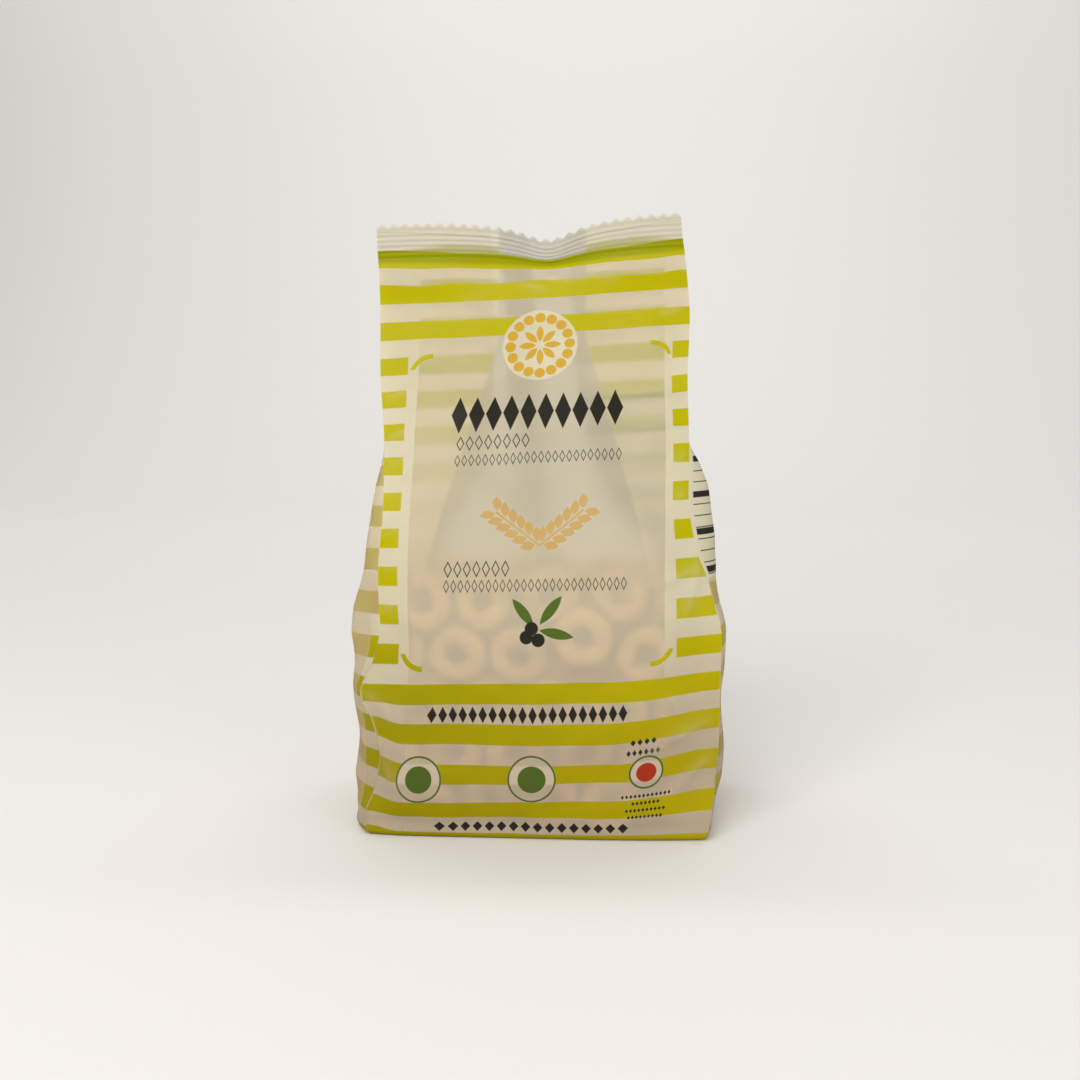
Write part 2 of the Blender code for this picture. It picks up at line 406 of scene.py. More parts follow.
STRIPE_WAVE = 0.0005
STRIPE_WAVE_LENGTH = 0.029
STRIPE_WAVE_PLACE = (-0.0248, 0.2155)
STRIPE_WAVE_HEIGHT = 0.006
UV_WIDTH = 0.420
UV_HEIGHT = 0.290
UV_BASE = 0.047
MILLIMETRE = 0.001
step = np.linalg.norm(np.diff(loft[:, :, :2], axis=1), axis=2)
around = np.concatenate([np.zeros((ROWS, 1)), np.cumsum(step, axis=1)], axis=1)
from_front = around - around[:, [FRONT_MIDDLE]] + loft[:, [FRONT_MIDDLE], 0] - PRINT_MIDDLE


def print_across(row):
    """The print's coordinate round the web for one row of the loft."""
    left_fold = smooth_line(LEFT_CREASE_PRINT, max(heights[row], 0.0))
    places = from_front[row, [0, MIDDLE, FRONT_LEFT, FRONT_RIGHT, LAST_COLUMN - MIDDLE, LAST_COLUMN]]
    low_start, high_start = STRETCH_STARTS
    held = low_start + (high_start - low_start) * ease(*STRETCH_CHANGES, heights[row])
    held_left = max(-held, HELD_INSIDE * places[2])
    held_right = min(held, HELD_INSIDE * places[3])
    places = [*places[:3], held_left, held_right, *places[3:]]
    back_fold = WEB_HALF_WIDTH - FOLD_LINE
    left_prints = [-WEB_HALF_WIDTH, -back_fold, -left_fold, held_left]
    right_prints = [held_right, FOLD_LINE, back_fold, WEB_HALF_WIDTH]
    return np.interp(from_front[row], places, left_prints + right_prints)


print_u = np.array([print_across(row) for row in range(ROWS)])
knots = np.array(FILM_LENGTH)
film_length = np.interp(heights, knots[:, 0], knots[:, 1]) + np.minimum(heights, 0.0)
sloping = PRINT_SLOPE * loft[:, :, 0] * ease(0.0, PRINT_SLOPE_REACHED, heights)[:, None]
print_v = film_length[:, None] - sloping
creep = np.array(PRINT_CREEP)
crept = [np.interp(film_length, creep[:, 0], creep[:, column]) for column in range(1, 6)]
for row in range(ROWS):
    knots = [0.0, *(line[row] for line in crept), 0.0]
    print_v[row] += MILLIMETRE * np.interp(from_front[row], CREEP_ACROSS, knots)
on_left_panel = (np.arange(print_u.shape[1]) >= FRONT_LEFT) & (print_u < 0)
curl = ease(*CURL_ACROSS, -print_u) * (1 - ease(*CURL_UPWARDS, heights))[:, None]
print_v -= CURL_UP * curl * on_left_panel
wave = np.sin(2 * np.pi * (print_u - STRIPE_WAVE_PLACE[0]) / STRIPE_WAVE_LENGTH)
print_v += STRIPE_WAVE * wave * np.exp(-(((print_v - STRIPE_WAVE_PLACE[1]) / STRIPE_WAVE_HEIGHT) ** 2))
lag = np.array(GUSSET_LAG)
gusset_lag = np.interp(film_length, lag[:, 0], lag[:, 1])
web_uv = np.stack([0.5 + print_u / UV_WIDTH, (print_v + UV_BASE) / UV_HEIGHT], -1)

# The leaning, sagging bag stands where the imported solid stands.
loft = settled(loft)
loft_middle = (loft.reshape(-1, 3).min(0) + loft.reshape(-1, 3).max(0)) / 2
cad_middle = (cad_low + cad_high) / 2
loft[:, :, 0] += cad_middle.x - loft_middle[0]
loft[:, :, 1] += cad_middle.y - loft_middle[1]

# Tarallini: rings of wheat dough, rolled as a thin rope, closed with a pressed overlap and baked to a
# pale gold. They were poured in and shaken down, and most of them stand on edge, along the panels.
BISCUIT_COUNT = 165
RING_RADIUS = 0.0075
ROPE_RADIUS = 0.00375
BEADS = 12
SETTLING_STEPS = 190
ROWS_UP = 6
FIRST_ROW = 0.014
ROW_STEP = 0.0205
LAYERS = 7
LAYER_STEP = 0.0112
COLUMNS = 5
COLUMN_STEP = 0.0232
STAGGER = 0.25
LOOSE = 0.0012
TILT = 0.5
FALL = 0.0002
FALLING_STEPS = 90
FILM_CLEARANCE = 0.0009
STANDS_OFF = 0.0085
SHOWN_BISCUIT = (0.0175, -0.0366, 0.0745)
SHOWN_LEAN = 0.03
TABLE_STEP = 0.002
TABLE_TOP = 0.160
TABLE_HALF_WIDTH = 0.080
TABLE_HALF_DEPTH = 0.046


def wall_tables():
    """The bag's inside as tables over height: its front and back over x, and its two sides over y."""
    x = np.arange(-TABLE_HALF_WIDTH, TABLE_HALF_WIDTH + TABLE_STEP / 2, TABLE_STEP)
    y = np.arange(-TABLE_HALF_DEPTH, TABLE_HALF_DEPTH + TABLE_STEP / 2, TABLE_STEP)
    tables = {"front": [], "back": [], "left": [], "right": []}
    for height in np.arange(0.0, TABLE_TOP, TABLE_STEP):
        ring = film_ring(height)
        front = ring[FRONT_LEFT : FRONT_RIGHT + 1]
        back = np.concatenate([ring[LAST_COLUMN - MIDDLE :], ring[: MIDDLE + 1]])
        back = back[np.argsort(back[:, 0])]
        right = ring[FRONT_RIGHT : LAST_COLUMN - MIDDLE + 1]
        left = ring[MIDDLE : FRONT_LEFT + 1][::-1]
        tables["front"].append(np.interp(x, front[:, 0], front[:, 1]))
        tables["back"].append(np.interp(x, back[:, 0], back[:, 1]))
        tables["right"].append(np.interp(y, right[:, 1], right[:, 0]))
        tables["left"].append(np.interp(y, left[:, 1], left[:, 0]))
    return {name: np.array(table) for name, table in tables.items()}


def read_table(table, half_size, place, height):
    """Reads a wall table between its entries, which are one step apart both ways."""
    up = np.clip(height / TABLE_STEP, 0, table.shape[0] - 1.001)
    along = np.clip((place + half_size) / TABLE_STEP, 0, table.shape[1] - 1.001)
    row = up.astype(int)
    column = along.astype(int)
    up = up - row
    along = along - column
    lower = table[row, column] * (1 - along) + table[row, column + 1] * along
    upper = table[row + 1, column] * (1 - along) + table[row + 1, column + 1] * along
    return lower * (1 - up) + upper * up


def turned(axis, angle):
    """Rotation matrices about these unit axes by these angles."""
    cosine = np.cos(angle)[:, None, None]
    sine = np.sin(angle)[:, None, None]
    cross = np.zeros((len(axis), 3, 3))
    cross[:, 0, 1], cross[:, 0, 2], cross[:, 1, 2] = -axis[:, 2], axis[:, 1], -axis[:, 0]
    cross -= np.transpose(cross, (0, 2, 1))
    outer = axis[:, :, None] * axis[:, None, :]
    return cosine * np.eye(3) + sine * cross + (1 - cosine) * outer


def poured_biscuits():
    """Centres and rotations of the biscuits, pushed apart, down and off the film until they lie still."""
    rng = np.random.default_rng(11)
    starts = []
    for row in range(ROWS_UP):
        for layer in range(LAYERS):
            for column in range(COLUMNS):
                x = (column - COLUMNS // 2 + STAGGER * (-1) ** (row + layer)) * COLUMN_STEP
                y = (layer - (LAYERS - 1) / 2) * LAYER_STEP
                starts.append((x, y, FIRST_ROW + row * ROW_STEP))
    centre = np.array(starts[:BISCUIT_COUNT]) + rng.normal(0, LOOSE, (BISCUIT_COUNT, 3))
    sideways = np.array([[1.0, 0, 0]])
    upright = turned(sideways, np.array([math.pi / 2]))[0]
    axis = rng.normal(size=(BISCUIT_COUNT, 3))
    axis /= np.linalg.norm(axis, axis=1, keepdims=True)
    turn = turned(axis, rng.normal(0, TILT, BISCUIT_COUNT)) @ upright
    nearest = np.argmin(np.linalg.norm(centre - SHOWN_BISCUIT, axis=1))
    angle = 2 * np.pi * np.arange(BEADS) / BEADS
    ring = RING_RADIUS * np.stack([np.cos(angle), np.sin(angle), 0 * angle], -1)
    owner = np.repeat(np.arange(BISCUIT_COUNT), BEADS)
    walls = wall_tables()
    room = ROPE_RADIUS + FILM_CLEARANCE
    stands_off = STANDS_OFF * rng.random(BISCUIT_COUNT)
    stands_off[nearest] = 0
    stands_off = stands_off[owner]
    for step in range(SETTLING_STEPS):
        centre[nearest] = SHOWN_BISCUIT
        turn[nearest] = turned(sideways, np.array([math.pi / 2 - SHOWN_LEAN]))[0]
        beads = (centre[:, None] + np.einsum("nij,bj->nbi", turn, ring)).reshape(-1, 3)
        size = (beads**2).sum(1)
        apart = size[:, None] + size[None] - 2 * beads @ beads.T
        one, other = np.nonzero(apart < (2 * ROPE_RADIUS) ** 2)
        keep = owner[one] < owner[other]
        one, other = one[keep], other[keep]
        gap = beads[one] - beads[other]
        length = np.maximum(np.linalg.norm(gap, axis=1), 1e-6)
        shove = gap * ((2 * ROPE_RADIUS - length) / length * 0.5)[:, None]
        push = np.zeros_like(beads)
        hits = np.ones(len(beads))
        np.add.at(push, one, shove)
        np.add.at(push, other, -shove)
        np.add.at(hits, one, 1)
        np.add.at(hits, other, 1)
        beads += push / np.sqrt(hits)[:, None]
        beads[:, 2] -= FALL * max(0.0, 1 - step / FALLING_STEPS)
        level = beads[:, 2] - RING_SLOPE * beads[:, 0] * ease(0.0, SLOPE_REACHED, beads[:, 2])
        front = read_table(walls["front"], TABLE_HALF_WIDTH, beads[:, 0], level) + room + stands_off
        back = read_table(walls["back"], TABLE_HALF_WIDTH, beads[:, 0], level) - room
        beads[:, 1] = np.clip(beads[:, 1], front, back)
        left = read_table(walls["left"], TABLE_HALF_DEPTH, beads[:, 1], level) + room
        right = read_table(walls["right"], TABLE_HALF_DEPTH, beads[:, 1], level) - room
        beads[:, 0] = np.clip(beads[:, 0], left, right)
        beads[:, 2] = np.maximum(beads[:, 2], room + BASE_HOLLOW)

        # Each biscuit goes to where its own beads were pushed, turned as they lie, and stays a round ring.
        grouped = beads.reshape(BISCUIT_COUNT, BEADS, 3)
        centre = grouped.mean(1)
        spread = np.einsum("nbi,bj->nij", grouped - centre[:, None], ring)
        spread += 1e-9 * turn
        first, _, second = np.linalg.svd(spread)
        flip = np.sign(np.linalg.det(first @ second))
        first[:, :, 2] *= flip[:, None]
        turn = first @ second
    return centre, turn


centre, turn = poured_biscuits()
VARIANTS = 4
RING_SEGMENTS = 30
ROPE_SEGMENTS = 12
ROPE_SHARE = 0.96
OVERLAP_HALF_ANGLE = 0.42
OVERLAP_SWELL = 0.08
OVERLAP_STEP = 0.0009
GROOVE_DEPTH = 0.16
GROOVE_HALF_ANGLE = 0.16
GROOVE_SLANT = 0.35
UNEVEN = (0.035, 0.020, 0.022)
WARP = 0.0005
OVAL = 0.05
FLATTENED = 0.93
SHRUNK = 0.05
biscuit_rng = np.random.default_rng(5)


def ring_biscuit(number):
    """One biscuit: a torus, thick and skewed where its rope's ends overlap, with an uneven baked skin."""
    bpy.ops.object.select_all(action="DESELECT")
    bpy.ops.mesh.primitive_torus_add(
        major_segments=RING_SEGMENTS,
        minor_segments=ROPE_SEGMENTS,
        major_radius=RING_RADIUS,
        minor_radius=ROPE_RADIUS * ROPE_SHARE,
    )
    biscuit = bpy.context.object
    biscuit.name = f"tarallo_{number}"
    spots = np.array([v.co for v in biscuit.data.vertices])
    around_ring = np.arctan2(spots[:, 1], spots[:, 0])
    spine = RING_RADIUS * np.stack([np.cos(around_ring), np.sin(around_ring), 0 * around_ring], -1)
    out = spots - spine
    height = out[:, 2] / ROPE_RADIUS
    outward = np.linalg.norm(spots[:, :2], axis=1) - RING_RADIUS
    joint = np.exp(-((around_ring / OVERLAP_HALF_ANGLE) ** 2))
    groove = np.exp(-(((around_ring - GROOVE_SLANT * height) / GROOVE_HALF_ANGLE) ** 2))
    groove = groove * (outward > -0.5 * ROPE_RADIUS)
    wave = biscuit_rng.uniform(0, 2 * np.pi, 6)
    swell = 1 + OVERLAP_SWELL * joint - GROOVE_DEPTH * groove
    swell += UNEVEN[0] * np.sin(2 * around_ring + wave[0]) + UNEVEN[1] * np.sin(3 * around_ring + wave[1])
    swell += UNEVEN[2] * np.sin(7 * around_ring + 3 * height + wave[2]) * np.sin(4 * height + wave[3])
    bend = WARP * np.sin(around_ring * 2 + wave[4])
    oval = 1 + OVAL * np.cos(2 * around_ring + wave[5])
    spots = spine * oval[:, None] + out * swell[:, None] * np.array([1, 1, FLATTENED])
    spots[:, 2] += bend + OVERLAP_STEP * joint * np.sin(around_ring / OVERLAP_HALF_ANGLE)
    biscuit.data.vertices.foreach_set("co", spots.astype(np.float32).ravel())
    bpy.ops.object.shade_smooth()
    return biscuit


masters = [ring_biscuit(number) for number in range(VARIANTS)]
copies = []
for number in range(BISCUIT_COUNT):
    biscuit = bpy.data.objects.new(f"tarallo_copy_{number}", masters[number % VARIANTS].data.copy())
    bpy.context.collection.objects.link(biscuit)
    spots = np.array([v.co for v in biscuit.data.vertices])
    size = 1 - SHRUNK * biscuit_rng.random()
    spin = biscuit_rng.uniform(0, 2 * np.pi)
    cosine, sine = math.cos(spin), math.sin(spin)
    about = np.array([[cosine, -sine, 0], [sine, cosine, 0], [0, 0, 1]])
    spots = centre[number] + size * spots @ about.T @ turn[number].T
    biscuit.data.vertices.foreach_set("co", spots.astype(np.float32).ravel())
    baked = biscuit.data.attributes.new("baked", "FLOAT", "POINT")
    baked.data.foreach_set("value", np.full(len(spots), biscuit_rng.random(), np.float32))
    copies.append(biscuit)
for master in masters:
    bpy.data.objects.remove(master)
bpy.ops.object.select_all(action="DESELECT")
for biscuit in copies:
    biscuit.select_set(True)
bpy.context.view_layer.objects.active = copies[0]
bpy.ops.object.join()
tarallini = copies[0]
tarallini.name = "tarallini"

PALE_CRUST = (0.80, 0.58, 0.30, 1)
BROWN_CRUST = (0.55, 0.29, 0.10, 1)
BAKED_APART = 0.45
dough = bpy.data.materials.new("Baked dough")
dough.use_nodes = True
nodes = dough.node_tree.nodes
links = dough.node_tree.links
skin = nodes["Principled BSDF"]
place = nodes.new("ShaderNodeTexCoord")
blotch = nodes.new("ShaderNodeTexNoise")
blotch.inputs["Scale"].default_value = 130
blotch.inputs["Detail"].default_value = 5
links.new(place.outputs["Object"], blotch.inputs["Vector"])
bake = nodes.new("ShaderNodeAttribute")
bake.attribute_name = "baked"
share = nodes.new("ShaderNodeMath")
share.operation = "MULTIPLY_ADD"
share.inputs[1].default_value = BAKED_APART
links.new(bake.outputs["Fac"], share.inputs[0])
links.new(blotch.outputs["Fac"], share.inputs[2])
crust = nodes.new("ShaderNodeValToRGB")
crust.color_ramp.elements[0].position = 0.35
crust.color_ramp.elements[0].color = PALE_CRUST
crust.color_ramp.elements[1].position = 1.1
crust.color_ramp.elements[1].color = BROWN_CRUST
links.new(share.outputs[0], crust.inputs["Fac"])
links.new(crust.outputs["Color"], skin.inputs["Base Color"])
skin.inputs["Roughness"].default_value = 0.72
tarallini.data.materials.clear()
tarallini.data.materials.append(dough)
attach(tarallini, "root")
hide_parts("bag")

# The film clings to the biscuits and sinks in between them. It is pinched to a fine ridge along the panels'
# creases, gathered under the seal, and creased where it was folded and handled.
CLING_REACH = 0.125
CLING_DEPTH = 0.0016
CLING_SPREAD = 0.0035
SKIN_GAP = 0.0003
PINCH_RISE = 0.0005
GATHER_RISE = 0.00022
GATHER_LENGTH = 0.0085
GATHER_WANDER = 0.011
GATHER_RISES = (0.195, 0.209)
GATHER_ENDS = (0.2105, 0.2155)
FAR_OFF = 0.05
SEARCH_REACH = 0.02
CLING_FADES = 0.080
OFF_FLOOR = 0.006
HELD_AT_CORNER = 0.25
HELD_COLUMNS = 9
HELD_ON_GUSSET = 0.45
SMOOTHINGS = 3

# Each crease runs between two places of the print, and stands up by a height, fading over a width.
CREASES = [
    ((0.0010, 0.2180), (0.0130, 0.2110), 0.0013, 0.0010),
    ((-0.0100, 0.2130), (0.0030, 0.2090), 0.0009, 0.0012),
    ((0.0150, 0.2150), (0.0300, 0.2110), 0.0008, 0.0012),
    ((-0.0300, 0.2065), (-0.0205, 0.2030), 0.0011, 0.0011),
    ((0.0585, 0.2000), (0.0440, 0.1970), 0.0008, 0.0012),
    ((-0.0590, 0.1890), (-0.0480, 0.1855), 0.0006, 0.0013),
    ((-0.0595, 0.1690), (-0.0460, 0.1730), 0.0008, 0.0014),
    ((-0.0590, 0.1520), (-0.0470, 0.1550), 0.0009, 0.0014),
    ((-0.0595, 0.1410), (-0.0440, 0.1440), 0.0006, 0.0012),
    ((-0.0595, 0.1300), (-0.0450, 0.1335), 0.0007, 0.0014),
    ((-0.0595, 0.1150), (-0.0430, 0.1200), 0.0009, 0.0016),
    ((-0.0590, 0.1010), (-0.0450, 0.1055), 0.0008, 0.0014),
    ((-0.0590, 0.0850), (-0.0480, 0.0900), 0.0009, 0.0015),
    ((0.0450, 0.1330), (0.0590, 0.1400), 0.0007, 0.0014),
    ((0.0480, 0.1190), (0.0590, 0.1270), 0.0006, 0.0014),
    ((0.0595, 0.0985), (0.0380, 0.0905), 0.0010, 0.0016),
    ((0.0595, 0.1030), (0.0520, 0.0800), 0.0011, 0.0016),
    ((0.0360, 0.0330), (0.0590, 0.0425), 0.0010, 0.0017),
    ((0.0480, 0.0200), (0.0590, 0.0300), 0.0009, 0.0016),
    ((-0.0550, 0.0330), (-0.0470, 0.0190), 0.0009, 0.0014),
    ((-0.0590, 0.0580), (-0.0510, 0.0440), 0.0008, 0.0014),
]
HANDLING_CREASES = 150
HANDLED_UP = (0.004, 0.205)
HANDLING_SLANT = 0.7
HANDLING_LENGTH = (0.006, 0.026)
HANDLING_RISE = (0.00010, 0.00034)
HANDLING_WIDTH = (0.0007, 0.0016)
SWELLS = 36
SWELL_LENGTH = (0.014, 0.050)
SWELL_RISE = 0.0036
LOOSE_COLUMNS = 14
LISTED_COLUMNS = 3
CLOSING = (0.085, 0.150)
TAUT = (0.165, 0.205)
TAUTNESS = 0.75
PRESSED_FLAT = (0.2130, 0.2165)
PINCH_ENDS = (0.060, 0.090)


def crease_relief(start, end, rise, width):
    """Height of one crease: a sharp line that fades to both of its ends."""
    start = np.array(start)
    along = np.array(end) - start
    length = np.linalg.norm(along)
    along /= length
    du = print_u - start[0]
    dv = print_v - start[1]
    reach = (du * along[0] + dv * along[1]) / length
    off = np.abs(dv * along[0] - du * along[1])
    fade = np.clip(4 * reach * (1 - reach), 0, 1) * ((reach > 0) & (reach < 1))
    return rise * np.exp(-off / width) * fade


def blurred(field, times):
    """Evens out a field over the web, round the bag and up it."""
    for _ in range(times):
        field = (field + np.roll(field, 1, 1) + np.roll(field, -1, 1)) / 3
        padded = np.pad(field, ((1, 1), (0, 0)), mode="edge")
        field = (padded[:-2] + padded[1:-1] + padded[2:]) / 3
    return field


# How far the film can sink at each of its points before it lies on a biscuit.
heap = BVHTree.FromObject(tarallini, bpy.context.evaluated_depsgraph_get())
gap = np.full(loft.shape[:2], FAR_OFF)
for row in np.nonzero((heights > 0.0) & (heights < CLING_REACH))[0]:
    for column, spot in enumerate(loft[row]):
        spot = Vector(spot)
        touched, outward, _, away = heap.find_nearest(spot, SEARCH_REACH)
        if touched is not None:
            gap[row, column] = away if (spot - touched).dot(outward) > 0 else -away
free = np.clip(gap - SKIN_GAP, 0, None)
columns = np.arange(LAST_COLUMN + 1)
corner_columns = (MIDDLE, FRONT_LEFT, FRONT_RIGHT, LAST_COLUMN - MIDDLE)
to_corner = np.min([np.abs(columns - corner) for corner in corner_columns], axis=0)
held_at_corner = HELD_AT_CORNER + (1 - HELD_AT_CORNER) * ease(0, HELD_COLUMNS, to_corner)
on_gusset = ((columns > MIDDLE) & (columns < FRONT_LEFT)) | (
    (columns > FRONT_RIGHT) & (columns < LAST_COLUMN - MIDDLE)
)
held_at_corner = held_at_corner * np.where(on_gusset, HELD_ON_GUSSET, 1.0)
low_down = 1 - ease(CLING_FADES, CLING_REACH, heights)
off_floor = ease(0.0, OFF_FLOOR, heights)
sunk = blurred(CLING_DEPTH * (1 - np.exp(-free / CLING_SPREAD)), SMOOTHINGS)
sunk = np.minimum(sunk * held_at_corner * (low_down * off_floor)[:, None], free)

# Creases: the listed ones on the front, and many faint ones left by handling. The faint ones flatten
# towards the seal and, where the gussets lie folded between the panels, towards each fold.
relief = -sunk
handling = np.random.default_rng(23)
for _ in range(HANDLING_CREASES):
    start = np.array([handling.uniform(-WEB_HALF_WIDTH, WEB_HALF_WIDTH), handling.uniform(*HANDLED_UP)])
    slant = handling.normal(math.pi / 2, HANDLING_SLANT)
    length = handling.uniform(*HANDLING_LENGTH)
    end = start + length * np.array([math.cos(slant), math.sin(slant)])
    rise = handling.choice((-1, 1)) * handling.uniform(*HANDLING_RISE)
    relief += crease_relief(start, end, rise, handling.uniform(*HANDLING_WIDTH))
swell = np.zeros_like(relief)
for _ in range(SWELLS):
    length = handling.uniform(*SWELL_LENGTH)
    heading = handling.uniform(0, np.pi)
    phase = handling.uniform(0, 2 * np.pi)
    heading_across = print_u * np.cos(heading) + print_v * np.sin(heading)
    swell += length * np.sin(2 * np.pi * heading_across / length + phase)
relief += SWELL_RISE * swell
gather = np.sin(2 * np.pi * print_u / GATHER_LENGTH + 3 * np.sin(print_u / GATHER_WANDER))
gathered = ease(*GATHER_RISES, heights) * (1 - ease(*GATHER_ENDS, heights))
relief += GATHER_RISE * gather * gathered[:, None]
fold_reach = len(gusset_shares)
folds = [*corner_columns, MIDDLE + fold_reach, FRONT_RIGHT + fold_reach]
to_fold = np.min([np.abs(columns - fold) for fold in folds], axis=0)
loose = ease(0, LOOSE_COLUMNS, to_fold)[None, :]
closing = ease(*CLOSING, heights)[:, None]
relief *= 1 - closing * (1 - loose)
relief *= (1 - TAUTNESS * ease(*TAUT, heights))[:, None]
listed = sum(crease_relief(*crease) for crease in CREASES)
listed *= ((columns > FRONT_LEFT) & (columns < FRONT_RIGHT)) * ease(0, LISTED_COLUMNS, to_corner)
relief += listed
relief *= (off_floor * (1 - ease(*PRESSED_FLAT, heights)))[:, None]
pinch = PINCH_RISE * (1 - ease(*PINCH_ENDS, heights)) * off_floor
for corner in (FRONT_LEFT, FRONT_RIGHT):
    relief[:, corner] += pinch
relief = np.maximum(relief, SKIN_GAP - gap)
relief[:, 0] = relief[:, -1] = (relief[:, 1] + relief[:, -2]) / 2

along_web = np.gradient(loft, axis=0)
across_web = np.gradient(loft, axis=1)
across_web[:, 0] = across_web[:, -1] = loft[:, 1] - loft[:, -2]
facing = np.cross(across_web, along_web)
facing /= np.maximum(np.linalg.norm(facing, axis=2, keepdims=True), 1e-12)
film_spots = loft + facing * relief[:, :, None]
film_spots[:, :, 2] = np.maximum(film_spots[:, :, 2], 0.0)


def laid_sheet(name, spots):
    """A grid laid through rows of points, and which of its points each corner of its faces is on."""
    bpy.ops.object.select_all(action="DESELECT")
    rows, columns, _ = spots.shape
    bpy.ops.mesh.primitive_grid_add(x_subdivisions=columns - 1, y_subdivisions=rows - 1, size=1)
    sheet = bpy.context.object
    sheet.name = name
    sheet.data.vertices.foreach_set("co", spots.reshape(-1).astype(np.float32))
    corner_points = np.empty(len(sheet.data.loops), np.int32)
    sheet.data.loops.foreach_get("vertex_index", corner_points)
    return sheet, corner_points


film, corner_vertex = laid_sheet("film_bag", film_spots)
web = film.data

# Painted highlight along the lower front creases and a little along the listed ones: the film is painted
# lighter there, fully where this is 1.
CORNER_HIGHLIGHT = ((FRONT_LEFT, 0.75), (FRONT_RIGHT, 0.25))
CORNER_HIGHLIGHT_ENDS = (0.058, 0.075)
LISTED_HIGHLIGHT = 0.25
FULL_HIGHLIGHT_RISE = 0.0010
crease_highlight = np.zeros(loft.shape[:2])
for corner, highlight_share in CORNER_HIGHLIGHT:
    crease_highlight[:, corner] = highlight_share * off_floor * (1 - ease(*CORNER_HIGHLIGHT_ENDS, heights))
crease_highlight += LISTED_HIGHLIGHT * np.clip(listed / FULL_HIGHLIGHT_RISE, 0, 1)
highlight_layer = web.attributes.new("crease_highlight", "FLOAT", "POINT")
highlight_layer.data.foreach_set("value", crease_highlight.ravel().astype(np.float32))
corner_uv = web_uv.reshape(-1, 2)[corner_vertex]
face_column = np.repeat(np.arange(len(web.polygons)) % LAST_COLUMN, 4)
behind_fold = (face_column >= MIDDLE) & (face_column < FRONT_LEFT)
behind_fold |= (face_column >= FRONT_RIGHT) & (face_column < LAST_COLUMN - MIDDLE)
corner_uv[:, 1] -= behind_fold * gusset_lag[corner_vertex // (LAST_COLUMN + 1)] / UV_HEIGHT
web.uv_layers.active.data.foreach_set("uv", corner_uv.ravel().astype(np.float32))

# The seal is welded shut: strips join the front and back layers along the cut, by way of the gussets.
mesh = bmesh.new()
mesh.from_mesh(web)
mesh.verts.ensure_lookup_table()
uv_layer = mesh.loops.layers.uv.active
top = [mesh.verts[(ROWS - 1) * (LAST_COLUMN + 1) + column] for column in range(LAST_COLUMN + 1)]
front_top = film_spots[-1, FRONT_LEFT : FRONT_RIGHT + 1, 0]
panel_reach = int(np.argmin(np.abs(front_top - film_spots[-1, FRONT_LEFT - fold_reach, 0])))
strips = []
for step in range(panel_reach):
    begins = round(step * fold_reach / panel_reach)
    ends = round((step + 1) * fold_reach / panel_reach)
    for corner, towards in ((FRONT_LEFT, 1), (FRONT_RIGHT, -1), (MIDDLE, -1), (LAST_COLUMN - MIDDLE, 1)):
        strip = [corner + towards * step, corner + towards * (step + 1), corner - towards * ends]
        if begins not in (0, ends):
            strip.append(corner - towards * begins)
        strips.append(strip if towards > 0 else strip[::-1])
for step in range(panel_reach, 2 * MIDDLE - panel_reach):
    strip = [FRONT_LEFT + step, FRONT_LEFT + step + 1]
    strip += [(MIDDLE - step - 1) % LAST_COLUMN, (MIDDLE - step) % LAST_COLUMN]
    if step == panel_reach:
        strip.append(FRONT_LEFT - fold_reach)
    if step == 2 * MIDDLE - panel_reach - 1:
        strip.insert(2, FRONT_RIGHT + fold_reach)
    strips.append(strip)
for strip in strips:
    face = mesh.faces.new([top[column] for column in strip])
    for loop, column in zip(face.loops, strip):
        loop[uv_layer].uv = web_uv[-1, column]
bmesh.ops.remove_doubles(mesh, verts=mesh.verts, dist=1e-6)
bmesh.ops.triangulate(mesh, faces=[face for face in mesh.faces if len(face.verts) > 4])
mesh.to_mesh(web)
mesh.free()
bpy.ops.object.shade_smooth_by_angle(angle=math.radians(55))

# The film is frosted white plastic. Stripes of lime green are printed on it all round, bright where white
# ink backs them on the panels and pale on the gussets, and the panels' middles are left clear as a window.
PRINT_PITCH = 0.01398
STRIPE_HEIGHT = 0.0071
TOP_STRIPE = 0.2275
INK_EDGE = 0.00022
BRIGHT_HALF = 0.064
BRIGHT_TO_FOLD = 0.080
WINDOW_HALF = 0.0504
WHITE_STARTS = 0.0462
DASH_TOP = TOP_STRIPE - 2.75 * PRINT_PITCH
DASH_BOTTOM = TOP_STRIPE - 11.75 * PRINT_PITCH

WHITE_FILM = (0.80, 0.725, 0.54)
BACKED_FILM = (0.66, 0.61, 0.445)
SEAL_FILM = (0.73, 0.69, 0.585)
LIME = (0.50, 0.452, 0.0)
# The next four colours are painted shade: darker ink on the topmost stripe under the crimps, darker and
# warmer film and ink low down, and greyer film between the two panels.
TOP_INK_SHADE = (0.66, 0.75, 1.0)
LOWER_FILM_SHADE = (0.88, 0.81, 0.82)
LOWER_INK_SHADE = (0.75, 0.765, 1.0)
TWO_LAYER_SHADE = (0.85, 0.865, 0.90)
LOWER_FILM_SPAN = (0.030, 0.085)
SHOWN_TOP = 0.2332
PALE_LIME = (0.64, 0.535, 0.20)
SHOWN_THROUGH = (0.86, 0.90, 0.60)
PRESSED_THROUGH = (0.86, 0.87, 0.72)
CHARCOAL = (0.022, 0.019, 0.015)
OCHRE = (0.55, 0.33, 0.03)
BISCUIT_TAN = (0.52, 0.34, 0.115)
LEAF_GREEN = (0.075, 0.13, 0.018)
BERRY_RED = (0.38, 0.035, 0.012)

plastic = bpy.data.materials.new("Printed frosted film")
plastic.use_nodes = True
nodes = plastic.node_tree.nodes
links = plastic.node_tree.links
surface = nodes["Principled BSDF"]


def calc(operation, *values, clamp=False):
    """Adds a Math node and returns its result."""
    node = nodes.new("ShaderNodeMath")
    node.operation = operation
    node.use_clamp = clamp
    for socket, value in zip(node.inputs, values):
        if isinstance(value, (int, float)):
            socket.default_value = value
        else:
            links.new(value, socket)
    return node.outputs[0]


